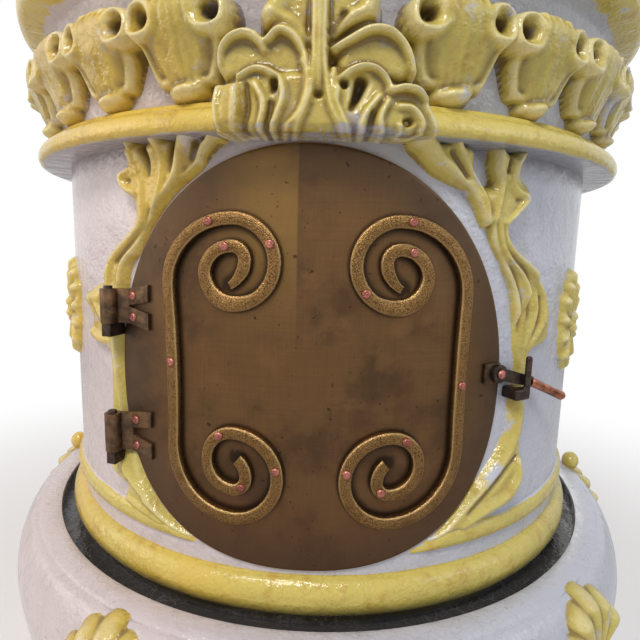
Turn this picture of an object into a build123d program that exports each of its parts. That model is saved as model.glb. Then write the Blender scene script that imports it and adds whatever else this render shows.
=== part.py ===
from build123d import *
import os
from math import ceil, copysign, cos, degrees, pi, radians, sin, tan

# A round column stove of glazed earthenware rings with a hinged brass door.
# Millimetres, +Z up, origin on the floor under the stove's axis, door towards -Y.
# Azimuths are degrees round the axis from the door's middle, positive to the right of the door.

# ---- the stack of rings ----
drum_radius = 250.0  # outside of the firebox ring
ring_wall = 22.0  # fired clay wall of the firebox ring
seat_depth = 15.0  # the firebox ring sinks this far into the base
joint_gap = 0.3  # dry joint where one piece stands inside another
bore_sides = 16  # the bores are lined with flat slips of tile, so they have flat sides
wall_sides = 72  # pieces laid on a round wall are bounded by this many narrow flats

# ---- base ----
base_height = 303.0
base_radius = 318.0
plinth_height = 46.0
base_waist_radius = 302.0
base_waist_low = 96.0
base_waist_high = 210.0
base_shoulder_radius = 308.0
base_shoulder_drop = 42.0  # from the rim down to the widest part under the lip
rim_gap = 20.0  # from the drum's face to the rim's inner edge
lip_width = 19.0
base_bore_radius = 205.0
shell_azimuths = (-91.0, -25.0, 48.0, 92.0, 150.0, -150.0)
shell_width = 74.0
shell_height = 62.0
shell_proud = 9.0
shell_lobes = 3

# ---- firebox ring ----
firebox_height = 321.5
torus_height = 38.0
torus_proud = 10.0
moulding_height = 19.5
moulding_proud = 24.0
moulding_top_proud = 12.0

# ---- door ----
door_sheet = 2.0
door_gap = 0.4  # the brass lies this far off the clay
door_clearance = 1.5  # from the door's edge to the mouldings round it
door_half_width = 139.5
door_waist_drop = 149.0  # from the door's top down to where it is widest
door_sill_rise = 43.0  # from the firebox ring's foot up to the door's bottom edge
door_crown_power = 2.0
door_foot_power = 2.4
door_lap = 13.0  # the sheet covers the mouth's edge by this much
outline_points = 28

# ---- scrolls and rivets on the door ----
scroll_offset = 6.0  # the pair sits this far right of the door's middle
scroll_bar_offset = 98.5  # from the pair's middle to each upright bar
scroll_width = 9.5
scroll_thickness = 5.0
scroll_mid_rise = 7.0  # middle of the bars above the door's widest line
upper_run = 50.0
lower_run = 52.0
upper_curl = ((47.0, 90.0), (27.0, 180.0), (18.5, 180.0), (8.5, 90.0), (16.0, 50.0))
lower_curl = ((47.5, 90.0), (29.5, 180.0), (19.5, 180.0), (9.0, 90.0), (16.0, 50.0))
curl_step = 22.5  # degrees from one flat of a hammered curl to the next
upper_rivets_right = ((0, 0.92), (2, 0.87), (1, 0.72))  # (bend, share of its turn)
upper_rivets_left = ((0, 0.72), (2, 0.87), (1, 0.41))
lower_rivets = ((2, 0.16), (1, 0.57), (3, 0.5))
rivet_radius = 3.2
rivet_height = 2.0
rivet_sides = 8
rivet_seat = 0.25  # lifts a flat head clear of the bent metal under it

# ---- heat shield behind the door ----
shield_sheet = 1.5
shield_air = 9.0
shield_inset = 12.0  # its edge inside the edge of the mouth
spacer_radius = 4.0
spacer_half_span = 70.0
spacer_half_rise = 75.0

# ---- hinges ----
hinge_names = ("lower", "upper")
hinge_arc = 138.75  # along the drum from the door's middle to the pins
pin_stand_off = 13.5  # from the drum's face to the pins' line
hinge_rises = (-47.0, 44.0)  # of each knuckle's middle above the door's widest line
knuckle_heights = (28.0, 24.0)
knuckle_radius = 5.5
knuckle_sides = 12
pin_radius = 3.0
pin_clearance = 0.08
strap_sheet = 2.0
strap_start = 8.0  # from the pin's line to where the strap lies on the door
strap_reach = 29.0
tongue_width = 11.5
tongue_splay = 3.5
hinge_rivet_reach = 14.0
pintle_gap = 0.25
tail_width = 7.0
tail_height = 9.0
tail_depth = 16.0
tail_lean = 1.0  # degrees: the tail leans away from the door on its way into the wall

# ---- latch ----
latch_arc = 134.0  # along the drum from the door's middle to the rivet
latch_rise = 5.0
latch_droop = 14.5
latch_plate_sheet = 2.5
latch_plate_size = 14.0
latch_play = 0.3
lever_thickness = 3.5
lever_boss_radius = 6.5
lever_width = 9.0
lever_tip_width = 7.5
lever_length = 33.0
latch_rivet_radius = 2.5
grip_radius = 3.4
grip_length = 40.0
tang_radius = 2.2
tang_clearance = 0.05
keeper_reach = 21.5  # from the rivet to the prong's near side
keeper_width = 5.0
keeper_prong = 23.0
keeper_play = 0.7
keeper_sheet = 3.5
keeper_stem_reach = 12.5
keeper_foot = 8.0
keeper_depth = 14.0

# ---- modelled leaves on the firebox ring ----
stalk_proud = 4.5
stalk_arc = 135.0  # along the drum from the door's middle to each stalk's middle
stalk_gap = 1.0  # from a stalk to the iron that passes through it
rosette_azimuths = (-56.0, 56.0)
rosette_rise = 33.0  # middle of the rosettes above the door's widest line
rosette_length = 84.0
rosette_width = 58.0
rosette_petals = 8
rosette_notch = 0.76  # depth of the notches, as a share of the petals' reach
rosette_proud = 7.0

# ---- frieze ----
frieze_wall_step = 6.0  # the frieze ring's face stands this far outside the drum's
frieze_height = 123.0
frieze_wall_height = 83.0
frieze_top_proud = 34.0
leaf_count = 25
leaf_first_azimuth = 17.2
leaf_rise = 3.0
leaf_height = 55.0
leaf_width = 63.0
leaf_bulge = 28.0
leaf_waist = 14.0
leaf_tip = 20.0
palmette_azimuth = 1.2
palmette_half_width = 57.0
palmette_height = 100.0
palmette_proud = 30.0

# ---- fire chamber ----
hearth_thickness = 50.0
brick_thickness = 28.0
brick_count = 11
lining_gap_azimuth = 33.0
mortar = 1.0
crown_thickness = 30.0
smoke_slot = 80.0

# ---- flue ring, cornice and lid ----
upper_radius = 220.0
upper_height = 340.0
upper_wall = 20.0
baffle_thickness = 30.0
baffle_seat = 14.0  # the baffle's rest on the frieze ring's wall
cornice_height = 34.0
cornice_proud = 22.0
lid_radius = 262.0
lid_thickness = 30.0
knob_neck_radius = 18.0
knob_neck_height = 16.0
knob_radius = 32.0
knob_height = 26.0
knob_sides = 12
flue_radius = 60.0
flue_sheet = 3.0
flue_rise = 250.0
flue_reach = 60.0  # from the flange to the spigot's mouth
flange_radius = 74.0
flange_thickness = 4.0
flue_inside = 12.0

# ---- sizes that follow ----
bore_radius = drum_radius - ring_wall
foot_z = base_height - seat_depth
soffit_z = foot_z + firebox_height
firebox_top_z = soffit_z + moulding_height
door_top_z = soffit_z - door_clearance
door_waist_z = door_top_z - door_waist_drop
door_tail = door_waist_z - foot_z - door_sill_rise  # from the widest line to the bottom edge
door_inner = drum_radius + door_gap
door_outer = door_inner + door_sheet
hinge_azimuth = -degrees(hinge_arc / drum_radius)
hinge_radius = drum_radius + pin_stand_off
frieze_radius = drum_radius + frieze_wall_step
frieze_top_z = firebox_top_z + frieze_height
upper_bore_radius = upper_radius - upper_wall
upper_top_z = frieze_top_z + upper_height
cornice_top_z = upper_top_z + cornice_height
stack_height = cornice_top_z + lid_thickness
hearth_z = foot_z + hearth_thickness
lining_top_z = firebox_top_z - crown_thickness
latch_z = door_waist_z + latch_rise
latch_azimuth = degrees(latch_arc / drum_radius)
keeper_edge = keeper_reach + keeper_width
lever_drop = keeper_edge * tan(radians(latch_droop)) + lever_width / 2 / cos(radians(latch_droop))
keeper_bottom = -lever_drop - latch_play - keeper_foot
stood = (Align.CENTER, Align.CENTER, Align.MIN)
side_plane = Plane(origin=(0, 0, 0), x_dir=(0, -1, 0), z_dir=(-1, 0, 0))


def outline_face(points):
    """A closed flat outline through its corners."""
    return make_face(Polyline(*points, close=True))


def turned(outline):
    """Turns a closed outline of (radius, height) corners round the stove's axis."""
    corners = [(radius, 0, height) for radius, height in outline]
    return revolve(outline_face(corners), Axis.Z)


def wall_plane(azimuth, radius=0.0, height=0.0):
    """A plane that faces straight out of the stove: x to the right, y up, z outwards."""
    turn = radians(azimuth)
    outwards = Vector(sin(turn), -cos(turn), 0)
    rightwards = Vector(cos(turn), sin(turn), 0)
    return Plane(outwards * radius + Vector(0, 0, height), x_dir=rightwards, z_dir=outwards)


def column(radius):
    """A solid cylinder on the stove's axis, taller than the stove."""
    return Pos(0, 0, -base_height) * Cylinder(radius, stack_height + 2 * base_height, align=stood)


def flats(radius):
    """The round wall of a radius as narrow flats that touch it."""
    wall = RegularPolygon(radius, wall_sides, major_radius=False)
    return Pos(0, 0, -base_height) * extrude(wall, amount=stack_height + 2 * base_height)


def many_sided(radius, sides, bottom, height):
    """An upright prism on the stove's axis with its sides' middles on a radius."""
    return extrude(Pos(0, 0, bottom) * RegularPolygon(radius, sides, major_radius=False), amount=height)


def pushed(face, azimuth):
    """A flat outline pushed straight out of the stove at an azimuth, from half way to the wall."""
    return extrude(wall_plane(azimuth, radius=drum_radius / 2) * face, amount=drum_radius)


def raised(face, azimuth, under, proud):
    """A flat outline as a skin that lies on the round wall of radius under and stands proud of it."""
    return pushed(face, azimuth) & (flats(under + proud) - flats(under))


def side_profiled(front, profile, half_width):
    """A leaf with a front outline and a side profile of (radius, height) corners, at azimuth 0."""
    return extrude(side_plane * outline_face(profile), half_width, both=True) & pushed(front, 0)


def stud(azimuth, radius, height):
    """A hammered rivet head that stands out of the wall."""
    head = extrude(RegularPolygon(rivet_radius, rivet_sides), amount=rivet_height)
    return wall_plane(azimuth, radius + rivet_seat, height) * head


def door_corners(grow):
    """Stations on the door's rounded outline on the flat, rounder above its widest line."""
    points = []
    for step in range(outline_points):
        turn = 2 * pi * step / outline_points
        power = 2 / (door_crown_power if sin(turn) >= 0 else door_foot_power)
        rise = door_waist_drop if sin(turn) >= 0 else door_tail
        arc = copysign((door_half_width + grow) * abs(cos(turn)) ** power, cos(turn))
        height = copysign((rise + grow) * abs(sin(turn)) ** power, sin(turn))
        points.append((drum_radius * sin(arc / drum_radius), door_waist_z + height))
    return points


def bent_bar(run, curl):
    """A flat bar that runs up from the scroll's middle line and curls to the left, and its bends.

    Each bend of the curl is (radius, degrees). With the outline comes one station for each bend:
    its centre, its radius, the angle where it begins and how far it turns.
    """
    half = scroll_width / 2
    heading = pi / 2
    middle = Vector(scroll_bar_offset, run)
    inner = [Vector(scroll_bar_offset - half, 0)]
    outer = [Vector(scroll_bar_offset + half, 0)]
    stations = []
    for radius, turn in curl:
        centre = middle + Vector(-sin(heading), cos(heading)) * radius
        begin = heading - pi / 2
        sweep = radians(turn)
        flats = ceil(turn / curl_step)
        for flat in range(1 if stations else 0, flats + 1):
            spoke = begin + sweep * flat / flats
            outwards = Vector(cos(spoke), sin(spoke))
            inner.append(centre + outwards * (radius - half))
            outer.append(centre + outwards * (radius + half))
        stations.append((centre, radius, begin, sweep))
        heading += sweep
        middle = centre + outwards * radius
    return outline_face(inner + outer[::-1]), stations


def base():
    """The flared foot, with a recessed seat for the firebox ring inside its rounded lip."""
    rim_radius = drum_radius + rim_gap
    shoulder_z = base_height - base_shoulder_drop
    ring = turned(
        (
            (0, 0),
            (base_radius, 0),
            (base_radius, plinth_height),
            (base_waist_radius, base_waist_low),
            (base_waist_radius, base_waist_high),
            (base_shoulder_radius, shoulder_z),
            (rim_radius + lip_width, base_height),
            (rim_radius, base_height),
            (rim_radius, foot_z),
            (0, foot_z),
        )
    )
    ring -= many_sided(base_bore_radius, bore_sides, 0, base_height)
    top_z = base_height - rivet_height
    low_z = top_z - shell_height
    half = shell_width / 2
    front = [(0, low_z)]
    for edge in range(2 * shell_lobes):
        turn = radians(200 - 220 * (edge + 0.5) / (2 * shell_lobes))
        front.append((half * cos(turn), low_z + shell_height * (0.55 + 0.45 * sin(turn))))
    profile = (
        (rim_radius, low_z),
        (base_shoulder_radius, low_z),
        (base_shoulder_radius + shell_proud, shoulder_z),
        (rim_radius + lip_width + shell_proud, top_z),
        (rim_radius, top_z),
    )
    shell = side_profiled(outline_face(front), profile, half) - ring
    shells = [Rot(0, 0, azimuth) * shell for azimuth in shell_azimuths]
    return {"base_ring": ring, "base_shells": Compound(children=shells)}


def keeper():
    """The iron hook that the lever drops behind, with its stem in the ring's wall."""
    front = latch_plate_sheet + latch_play + lever_thickness + keeper_play + keeper_sheet
    bar_depth = drum_radius + stalk_proud + joint_gap - door_outer
    stem_depth = drum_radius - door_outer - keeper_depth
    stem = Pos(keeper_stem_reach, keeper_bottom, stem_depth) * Box(
        keeper_foot, keeper_foot, front - stem_depth, align=Align.MIN
    )
    bar = Pos(keeper_stem_reach, keeper_bottom, bar_depth) * Box(
        keeper_edge - keeper_stem_reach, keeper_foot, front - bar_depth, align=Align.MIN
    )
    prong = Pos(keeper_reach, keeper_bottom, front - keeper_sheet) * Box(
        keeper_width, keeper_foot + keeper_prong, keeper_sheet, align=Align.MIN
    )
    return wall_plane(latch_azimuth, door_outer, latch_z) * (stem + bar + prong)


def tail_point(index, radius):
    """Where a hinge tail's middle line meets a radius, on its way from the pin into the wall."""
    lean = tail_lean * (hinge_radius - radius) / (hinge_radius - drum_radius)
    knuckle_bottom = door_waist_z + hinge_rises[index] - knuckle_heights[index] / 2
    return wall_plane(hinge_azimuth - lean, radius, knuckle_bottom - pintle_gap - tail_height / 2).origin


def tail(index):
    """The square forged tail that carries a hinge pin, from in front of the pin into the wall."""
    pin = tail_point(index, hinge_radius)
    run = tail_point(index, drum_radius) - pin
    inwards = run.normalized()
    length = tail_width / 2 + run.length + tail_depth
    start = Plane(pin - inwards * (tail_width / 2), x_dir=(0, 0, 1), z_dir=inwards)
    return extrude(start * Rectangle(tail_height, tail_width), amount=length)


def firebox():
    """The main ring with its door mouth, and the holes for the hinge tails and the keeper."""
    ring = turned(
        (
            (0, foot_z),
            (drum_radius, foot_z),
            (drum_radius + torus_proud, foot_z + torus_height * 0.6),
            (drum_radius, foot_z + torus_height),
            (drum_radius, soffit_z),
            (0, soffit_z),
        )
    )
    ring -= many_sided(bore_radius, bore_sides, foot_z, firebox_height)
    ring -= pushed(outline_face(door_corners(-door_lap)), 0)
    ring -= keeper()
    for index in range(len(hinge_names)):
        ring -= tail(index)
    return ring


def moulding():
    """The narrow ring that lies on the firebox ring and overhangs the door."""
    ring = turned(
        (
            (0, soffit_z),
            (drum_radius + moulding_proud, soffit_z),
            (drum_radius + moulding_top_proud, firebox_top_z),
            (0, firebox_top_z),
        )
    )
    return ring - many_sided(bore_radius, bore_sides, soffit_z, moulding_height)


def wall_room(azimuth, left, right, bottom, top):
    """Room cut straight through a modelled leaf, for the iron that passes it."""
    middle = Pos((left + right) / 2, (bottom + top) / 2)
    return pushed(middle * Rectangle(right - left, top - bottom), azimuth)


def stalks():
    """The leaf stalks that rise from the string on each side of the door to the top moulding.

    Their corners are (arc along the drum from the door's middle, height over its widest line).
    """
    top = soffit_z - door_waist_z
    left = (
        (-131, top), (-128, 140), (-136, 133), (-132, 125), (-121, 123), (-121, 110), (-128, 99),
        (-143, 90), (-153, 80), (-162, 64), (-163, 55), (-190, 50), (-203, 43), (-192, 35),
        (-182, 30), (-190, 17), (-166, 13), (-156, 0), (-155, -35), (-158, -64), (-166, -75),
        (-152, -92), (-144, -104), (-88, -104), (-116, -79), (-138, -62), (-142, -35),
        (-142, 15), (-137, 60), (-122, 80), (-112, 96), (-102, 113), (-92, 124), (-80, 134),
        (-70, top),
    )
    right = (
        (72, top), (78, 131), (92, 126), (108, 121), (117, 105), (124, 88), (137, 76), (145, 60),
        (152, 45), (154, 25), (158, 10), (162, -5), (157, -25), (147, -55), (132, -75),
        (120, -90), (102, -104), (162, -104), (169, -85), (167, -73), (172, -65), (176, -45),
        (172, -20), (167, -5), (170, 10), (184, 20), (192, 33), (190, 55), (182, 65), (172, 75),
        (162, 85), (142, 93), (136, 105), (147, 113), (154, 122), (147, 130), (139, 135),
        (142, top), (117, top), (116, 143), (107, 135), (99, top),
    )
    grown = outline_face(door_corners(door_clearance))
    pieces = {}
    for name, middle, corners in (("stalk_left", -stalk_arc, left), ("stalk_right", stalk_arc, right)):
        flat = outline_face([(arc - middle, door_waist_z + rise) for arc, rise in corners])
        azimuth = degrees(middle / drum_radius)
        pieces[name] = raised(flat, azimuth, drum_radius, stalk_proud) - pushed(grown, 0)
    for index in range(len(hinge_names)):
        middle_z = door_waist_z + hinge_rises[index]
        half = knuckle_heights[index] / 2 + stalk_gap
        pieces["stalk_left"] -= wall_room(
            hinge_azimuth,
            -tail_width / 2 - drum_radius * radians(tail_lean) - stalk_gap,
            strap_start,
            middle_z - half - pintle_gap - tail_height,
            middle_z + half,
        )
    pieces["stalk_right"] -= wall_room(
        latch_azimuth,
        0,
        keeper_stem_reach + keeper_foot + stalk_gap,
        latch_z + keeper_bottom - stalk_gap,
        latch_z + keeper_bottom + keeper_foot + stalk_gap,
    )
    return pieces


def rosettes():
    """Long shell rosettes on both sides of the ring."""
    corners = []
    for step in range(2 * rosette_petals):
        turn = pi * (step + 0.5) / rosette_petals
        reach = 0.5 if step % 2 == 0 else 0.5 * rosette_notch
        rise = rosette_rise + rosette_length * reach * sin(turn)
        corners.append((rosette_width * reach * cos(turn), door_waist_z + rise))
    flat = outline_face(corners)
    return Compound(children=[raised(flat, a, drum_radius, rosette_proud) for a in rosette_azimuths])


def door():
    """The brass sheet, its scrolls and rivets, and the heat shield on its spacers."""
    sheet = pushed(make_face(Spline(*door_corners(0), periodic=True)), 0)
    parts = {"door_plate": sheet & (column(door_outer) - column(door_inner))}
    bar_z = door_waist_z + scroll_mid_rise
    reach = scroll_bar_offset * 0.63  # middle of a scroll from the pair's middle
    upper, upper_stations = bent_bar(upper_run, upper_curl)
    lower, lower_stations = bent_bar(lower_run, lower_curl)
    heads = []
    for name, side, upper_rivets in (
        ("door_scroll_right", 1, upper_rivets_right),
        ("door_scroll_left", -1, upper_rivets_left),
    ):
        flat = upper + mirror(lower, Plane.XZ)
        if side < 0:
            flat = mirror(flat, Plane.YZ)
        azimuth = degrees((scroll_offset + side * reach) / drum_radius)
        parts[name] = raised(Pos(-side * reach, bar_z) * flat, azimuth, door_outer, scroll_thickness)
        places = [(scroll_bar_offset, 0)]
        for stations, stops, up in ((upper_stations, upper_rivets, 1), (lower_stations, lower_rivets, -1)):
            for bend, share in stops:
                centre, radius, begin, sweep = stations[bend]
                turn = begin + share * sweep
                spot = centre + Vector(cos(turn), sin(turn)) * radius
                places.append((spot.X, up * spot.Y))
        for x, y in places:
            across = degrees((scroll_offset + side * x) / drum_radius)
            heads.append(stud(across, door_outer + scroll_thickness, bar_z + y))
    parts["scroll_rivets"] = Compound(children=heads)

    shield_outer = door_inner - shield_air
    shield_face = outline_face(door_corners(-door_lap - shield_inset))
    parts["door_heat_shield"] = raised(shield_face, 0, shield_outer - shield_sheet, shield_sheet)
    spacers = []
    for across in (-spacer_half_span, spacer_half_span):
        for rise in (-spacer_half_rise, spacer_half_rise):
            rod = Pos(0, door_waist_z + rise) * Rectangle(2 * spacer_radius, 2 * spacer_radius)
            length = shield_air - rivet_seat
            spacers.append(raised(rod, degrees(across / drum_radius), shield_outer, length))
    parts["shield_spacers"] = Compound(children=spacers)
    return parts


def hinges():
    """Straps rolled round the pins, their rivets, and the pintles in the ring's wall."""
    parts = {}
    heads = []
    for index, name in enumerate(hinge_names):
        half = knuckle_heights[index] / 2
        middle_z = door_waist_z + hinge_rises[index]
        plane = wall_plane(hinge_azimuth, hinge_radius, middle_z)
        pin_foot = plane * Pos(0, -half, 0) * Rot(-90, 0, 0)
        eye = RegularPolygon(knuckle_radius, knuckle_sides) - Circle(pin_radius + pin_clearance)
        knuckle = extrude(eye, amount=2 * half)
        fall = hinge_radius - door_outer
        web_face = outline_face(
            (
                (-knuckle_radius * 0.45, -knuckle_radius * 0.78),
                (knuckle_radius * 0.62, -knuckle_radius * 0.75),
                (strap_start + strap_sheet, strap_sheet - fall),
                (strap_start + strap_sheet, -fall - strap_sheet),
                (strap_start, -fall - strap_sheet),
                (strap_start, -fall + strap_sheet / 2),
            )
        )
        web = extrude(plane * Rot(90, 0, 0) * web_face, amount=half, both=True) - column(door_outer)
        inner = half - tongue_width
        tongues = outline_face(
            (
                (strap_start, -half), (strap_reach, -half - tongue_splay),
                (strap_reach, -inner - tongue_splay), (strap_start + strap_sheet, -inner),
                (strap_start + strap_sheet, inner), (strap_reach, inner + tongue_splay),
                (strap_reach, half + tongue_splay), (strap_start, half),
            )
        )
        leaf = raised(Pos(0, middle_z) * tongues, hinge_azimuth, door_outer, strap_sheet)
        parts["hinge_strap_" + name] = pin_foot * knuckle + web + leaf
        pin_length = pintle_gap + 2 * half + rivet_height
        pin = Cylinder(pin_radius, pin_length, align=stood)
        parts["hinge_pintle_" + name] = pin_foot * Pos(0, 0, -pintle_gap) * pin + tail(index)
        across = hinge_azimuth + degrees(hinge_rivet_reach / drum_radius)
        for side in (-1, 1):
            rise = side * (half - tongue_width / 2 + tongue_splay / 3)
            heads.append(stud(across, door_outer + strap_sheet, middle_z + rise))
    parts["hinge_rivets"] = Compound(children=heads)
    return parts


def latch():
    """The plate and rivet on the door, the lever that turns on it, its copper grip, the keeper."""
    plane = wall_plane(latch_azimuth, door_outer, latch_z)
    plate_face = Pos(-latch_plate_size / 4, latch_z) * Rectangle(latch_plate_size, latch_plate_size)
    bar = outline_face(
        (
            (0, -lever_width / 2), (lever_length, -lever_tip_width / 2),
            (lever_length, lever_tip_width / 2), (0, lever_width / 2),
        )
    )
    blank = RegularPolygon(lever_boss_radius, knuckle_sides) + bar
    blank -= Circle(latch_rivet_radius + pin_clearance)
    along = Plane(origin=(lever_length, 0, lever_thickness / 2), x_dir=(0, 1, 0), z_dir=(1, 0, 0))
    tang = along * RegularPolygon(tang_radius, rivet_sides)
    hollow = RegularPolygon(tang_radius + tang_clearance, rivet_sides)
    sleeve = along * (RegularPolygon(grip_radius, knuckle_sides) - hollow)
    under = latch_plate_sheet + latch_play
    at_rest = plane * Pos(0, 0, under) * Rot(0, 0, -latch_droop)
    head_lift = under + lever_thickness + latch_play
    shank = Pos(0, 0, under) * Cylinder(latch_rivet_radius, head_lift - under, align=stood)
    head = stud(latch_azimuth, door_outer + head_lift - rivet_seat, latch_z)
    return {
        "latch_plate": raised(plate_face, latch_azimuth, door_outer, latch_plate_sheet),
        "latch_lever": at_rest * (extrude(blank, amount=lever_thickness) + extrude(tang, amount=grip_length)),
        "latch_grip": at_rest * extrude(sleeve, amount=grip_length),
        "latch_rivet": plane * shank + head,
        "latch_keeper": keeper(),
    }


def frieze():
    """The leaf frieze: a plain ring, the hanging leaves, and the palmette over the door."""
    shoulder_z = firebox_top_z + frieze_wall_height
    top_radius = drum_radius + frieze_top_proud
    ring = turned(
        (
            (0, firebox_top_z),
            (frieze_radius, firebox_top_z),
            (frieze_radius, shoulder_z),
            (top_radius, shoulder_z),
            (top_radius, frieze_top_z),
            (0, frieze_top_z),
        )
    )
    ring -= many_sided(upper_bore_radius - baffle_seat, bore_sides, firebox_top_z, frieze_height)

    low = firebox_top_z + leaf_rise
    top = low + leaf_height
    half = leaf_width / 2
    root = frieze_radius - ring_wall / 2
    front = outline_face(
        (
            (-half * 0.92, top), (-half, top - 12), (-half * 0.74, low + 22), (-half * 0.38, low),
            (half * 0.38, low), (half * 0.74, low + 22), (half, top - 12), (half * 0.92, top),
        )
    )
    profile = (
        (root, low - 1), (frieze_radius + leaf_tip, low - 1),
        (frieze_radius + leaf_waist, low + 18), (frieze_radius + leaf_bulge, low + 40),
        (frieze_radius + leaf_waist, top + 1), (root, top + 1),
    )
    leaf = side_profiled(front, profile, half) - flats(frieze_radius)
    pitch = (360 - 2 * leaf_first_azimuth) / (leaf_count - 1)
    first = palmette_azimuth + leaf_first_azimuth
    leaves = [Rot(0, 0, first + step * pitch) * leaf for step in range(leaf_count)]

    bottom = soffit_z + door_clearance
    crown = bottom + palmette_height
    wide = palmette_half_width
    proud = frieze_radius + palmette_proud
    half_front = [
        (wide * 0.93, bottom), (wide, bottom + 17), (wide * 0.86, bottom + 31),
        (wide * 0.82, bottom + 37), (wide * 0.9, bottom + 44), (wide * 0.84, bottom + 52),
        (wide * 0.56, bottom + 60), (wide * 0.56, bottom + 76), (wide * 0.34, bottom + 96),
    ]
    front = half_front + [(0, crown)] + [(-x, y) for x, y in reversed(half_front)]
    profile = (
        (root, bottom - 1), (drum_radius + moulding_proud + 3, bottom - 1), (proud - 8, bottom + 14),
        (proud - 14, bottom + 31), (proud, bottom + 50), (frieze_radius + 10, crown), (root, crown),
    )
    palmette = side_profiled(outline_face(front), profile, wide) - flats(frieze_radius)
    overhang = flats(drum_radius + moulding_proud) & Pos(0, 0, soffit_z) * Box(
        2 * base_radius, 2 * base_radius, moulding_height, align=stood
    )
    palmette = Rot(0, 0, palmette_azimuth) * (palmette - overhang)
    return {
        "frieze_ring": ring,
        "acanthus_leaves": Compound(children=leaves),
        "palmette": palmette,
    }


def smoke_gap(bottom, thickness, side):
    """The room for smoke past a slab: side is 1 for the back of the stove and -1 for its front."""
    reach = 2 * bore_radius
    return Pos(0, side * (bore_radius - smoke_slot + reach / 2), bottom) * Box(
        2 * reach, reach, thickness, align=stood
    )


def fire_chamber():
    """Hearth, upright bricks and crown: the fireclay box that the fire burns in."""
    slab_radius = bore_radius - joint_gap
    spread = (360 - 2 * lining_gap_azimuth) / brick_count
    outer = slab_radius * cos(radians(spread / 2))
    inner = outer - brick_thickness
    slope = tan(radians(spread / 2))
    plan = outline_face(
        (
            (mortar - inner * slope, -inner), (inner * slope - mortar, -inner),
            (outer * slope - mortar, -outer), (mortar - outer * slope, -outer),
        )
    )
    brick = extrude(Pos(0, 0, hearth_z) * plan, amount=lining_top_z - hearth_z)
    turns = [lining_gap_azimuth + (step + 0.5) * spread for step in range(brick_count)]
    crown = many_sided(slab_radius, bore_sides, lining_top_z, crown_thickness)
    return {
        "hearth_slab": many_sided(slab_radius, bore_sides, foot_z, hearth_thickness),
        "fireclay_lining": Compound(children=[Rot(0, 0, turn) * brick for turn in turns]),
        "firebox_crown": crown - smoke_gap(lining_top_z, crown_thickness, 1),
    }


def flue_ring():
    """The narrower ring above the frieze, the slab inside it and the smoke spigot behind."""
    ring = turned(
        (
            (0, frieze_top_z),
            (upper_radius, frieze_top_z),
            (upper_radius, upper_top_z),
            (0, upper_top_z),
        )
    )
    ring -= many_sided(upper_bore_radius, bore_sides, frieze_top_z, upper_height)
    back = Plane(
        origin=(0, upper_bore_radius - flue_inside, frieze_top_z + flue_rise),
        x_dir=(1, 0, 0),
        z_dir=(0, 1, 0),
    )
    flange_depth = flue_inside + upper_wall + joint_gap
    length = flange_depth + flange_thickness + flue_reach
    ring -= extrude(back * Circle(flue_radius + joint_gap), amount=length)
    hollow = RegularPolygon(flue_radius - flue_sheet, 2 * bore_sides)
    spigot = extrude(back * (Circle(flue_radius) - hollow), amount=length)
    flange = RegularPolygon(flange_radius, 2 * bore_sides) - hollow
    spigot += extrude(back.offset(flange_depth) * flange, amount=flange_thickness)
    baffle = many_sided(upper_bore_radius - joint_gap, bore_sides, frieze_top_z, baffle_thickness)
    return {
        "upper_ring": ring,
        "flue_baffle": baffle - smoke_gap(frieze_top_z, baffle_thickness, -1),
        "flue_collar": spigot,
    }


def crowning():
    """Cornice, cover slab and knob."""
    cornice = Pos(0, 0, upper_top_z) * Cylinder(
        upper_radius + cornice_proud, cornice_height, align=stood
    )
    cornice -= many_sided(upper_bore_radius, bore_sides, upper_top_z, cornice_height)
    lid = Pos(0, 0, cornice_top_z) * Cylinder(lid_radius, lid_thickness, align=stood)
    neck_top_z = stack_height + knob_neck_height
    knob = many_sided(knob_neck_radius, knob_sides, stack_height, knob_neck_height)
    knob += many_sided(knob_radius, knob_sides, neck_top_z, knob_height)
    return {"cornice_ring": cornice, "cover_slab": lid, "cover_knob": knob}


def stove():
    """Every piece by name."""
    parts = base()
    parts["firebox_ring"] = firebox()
    parts["moulding_ring"] = moulding()
    parts.update(stalks())
    parts["side_rosettes"] = rosettes()
    parts.update(door())
    parts.update(hinges())
    parts.update(latch())
    parts.update(frieze())
    parts.update(fire_chamber())
    parts.update(flue_ring())
    parts.update(crowning())
    return parts


os.makedirs("parts", exist_ok=True)
for name, shape in stove().items():
    export_step(shape, "parts/" + name + ".step")
    print(name, len(shape.solids()), round(shape.volume))
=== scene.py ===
from math import ceil, copysign, cos, degrees, pi, radians, sin

import bmesh
import bpy
import numpy as np
from mathutils import Matrix, Vector


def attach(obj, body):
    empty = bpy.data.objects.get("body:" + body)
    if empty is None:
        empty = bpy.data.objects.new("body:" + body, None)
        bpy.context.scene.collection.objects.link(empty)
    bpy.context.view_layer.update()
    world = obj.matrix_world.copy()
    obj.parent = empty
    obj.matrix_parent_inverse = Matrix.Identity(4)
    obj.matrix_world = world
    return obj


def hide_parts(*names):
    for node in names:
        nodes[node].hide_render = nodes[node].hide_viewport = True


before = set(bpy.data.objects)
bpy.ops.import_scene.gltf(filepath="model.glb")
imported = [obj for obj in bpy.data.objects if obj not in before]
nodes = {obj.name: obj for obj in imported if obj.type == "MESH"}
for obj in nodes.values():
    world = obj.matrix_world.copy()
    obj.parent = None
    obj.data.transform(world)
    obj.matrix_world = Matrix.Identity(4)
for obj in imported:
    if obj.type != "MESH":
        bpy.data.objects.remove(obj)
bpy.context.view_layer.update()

# ---- The view ----
# The stove is seen from a little right of the door's middle, at the height of the door, with a
# wide lens held 55 cm from the axis, tipped down and turned a touch.
view_azimuth = radians(2.865)
view_pitch = radians(8.172)
view_roll = radians(1.402)
eye = Vector((-0.0031, -0.5538, 0.545))
lens_data = bpy.data.cameras.new("view")
lens_data.sensor_width = 36.0
lens_data.lens = 27.5625
lens_data.clip_start = 0.01
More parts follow.
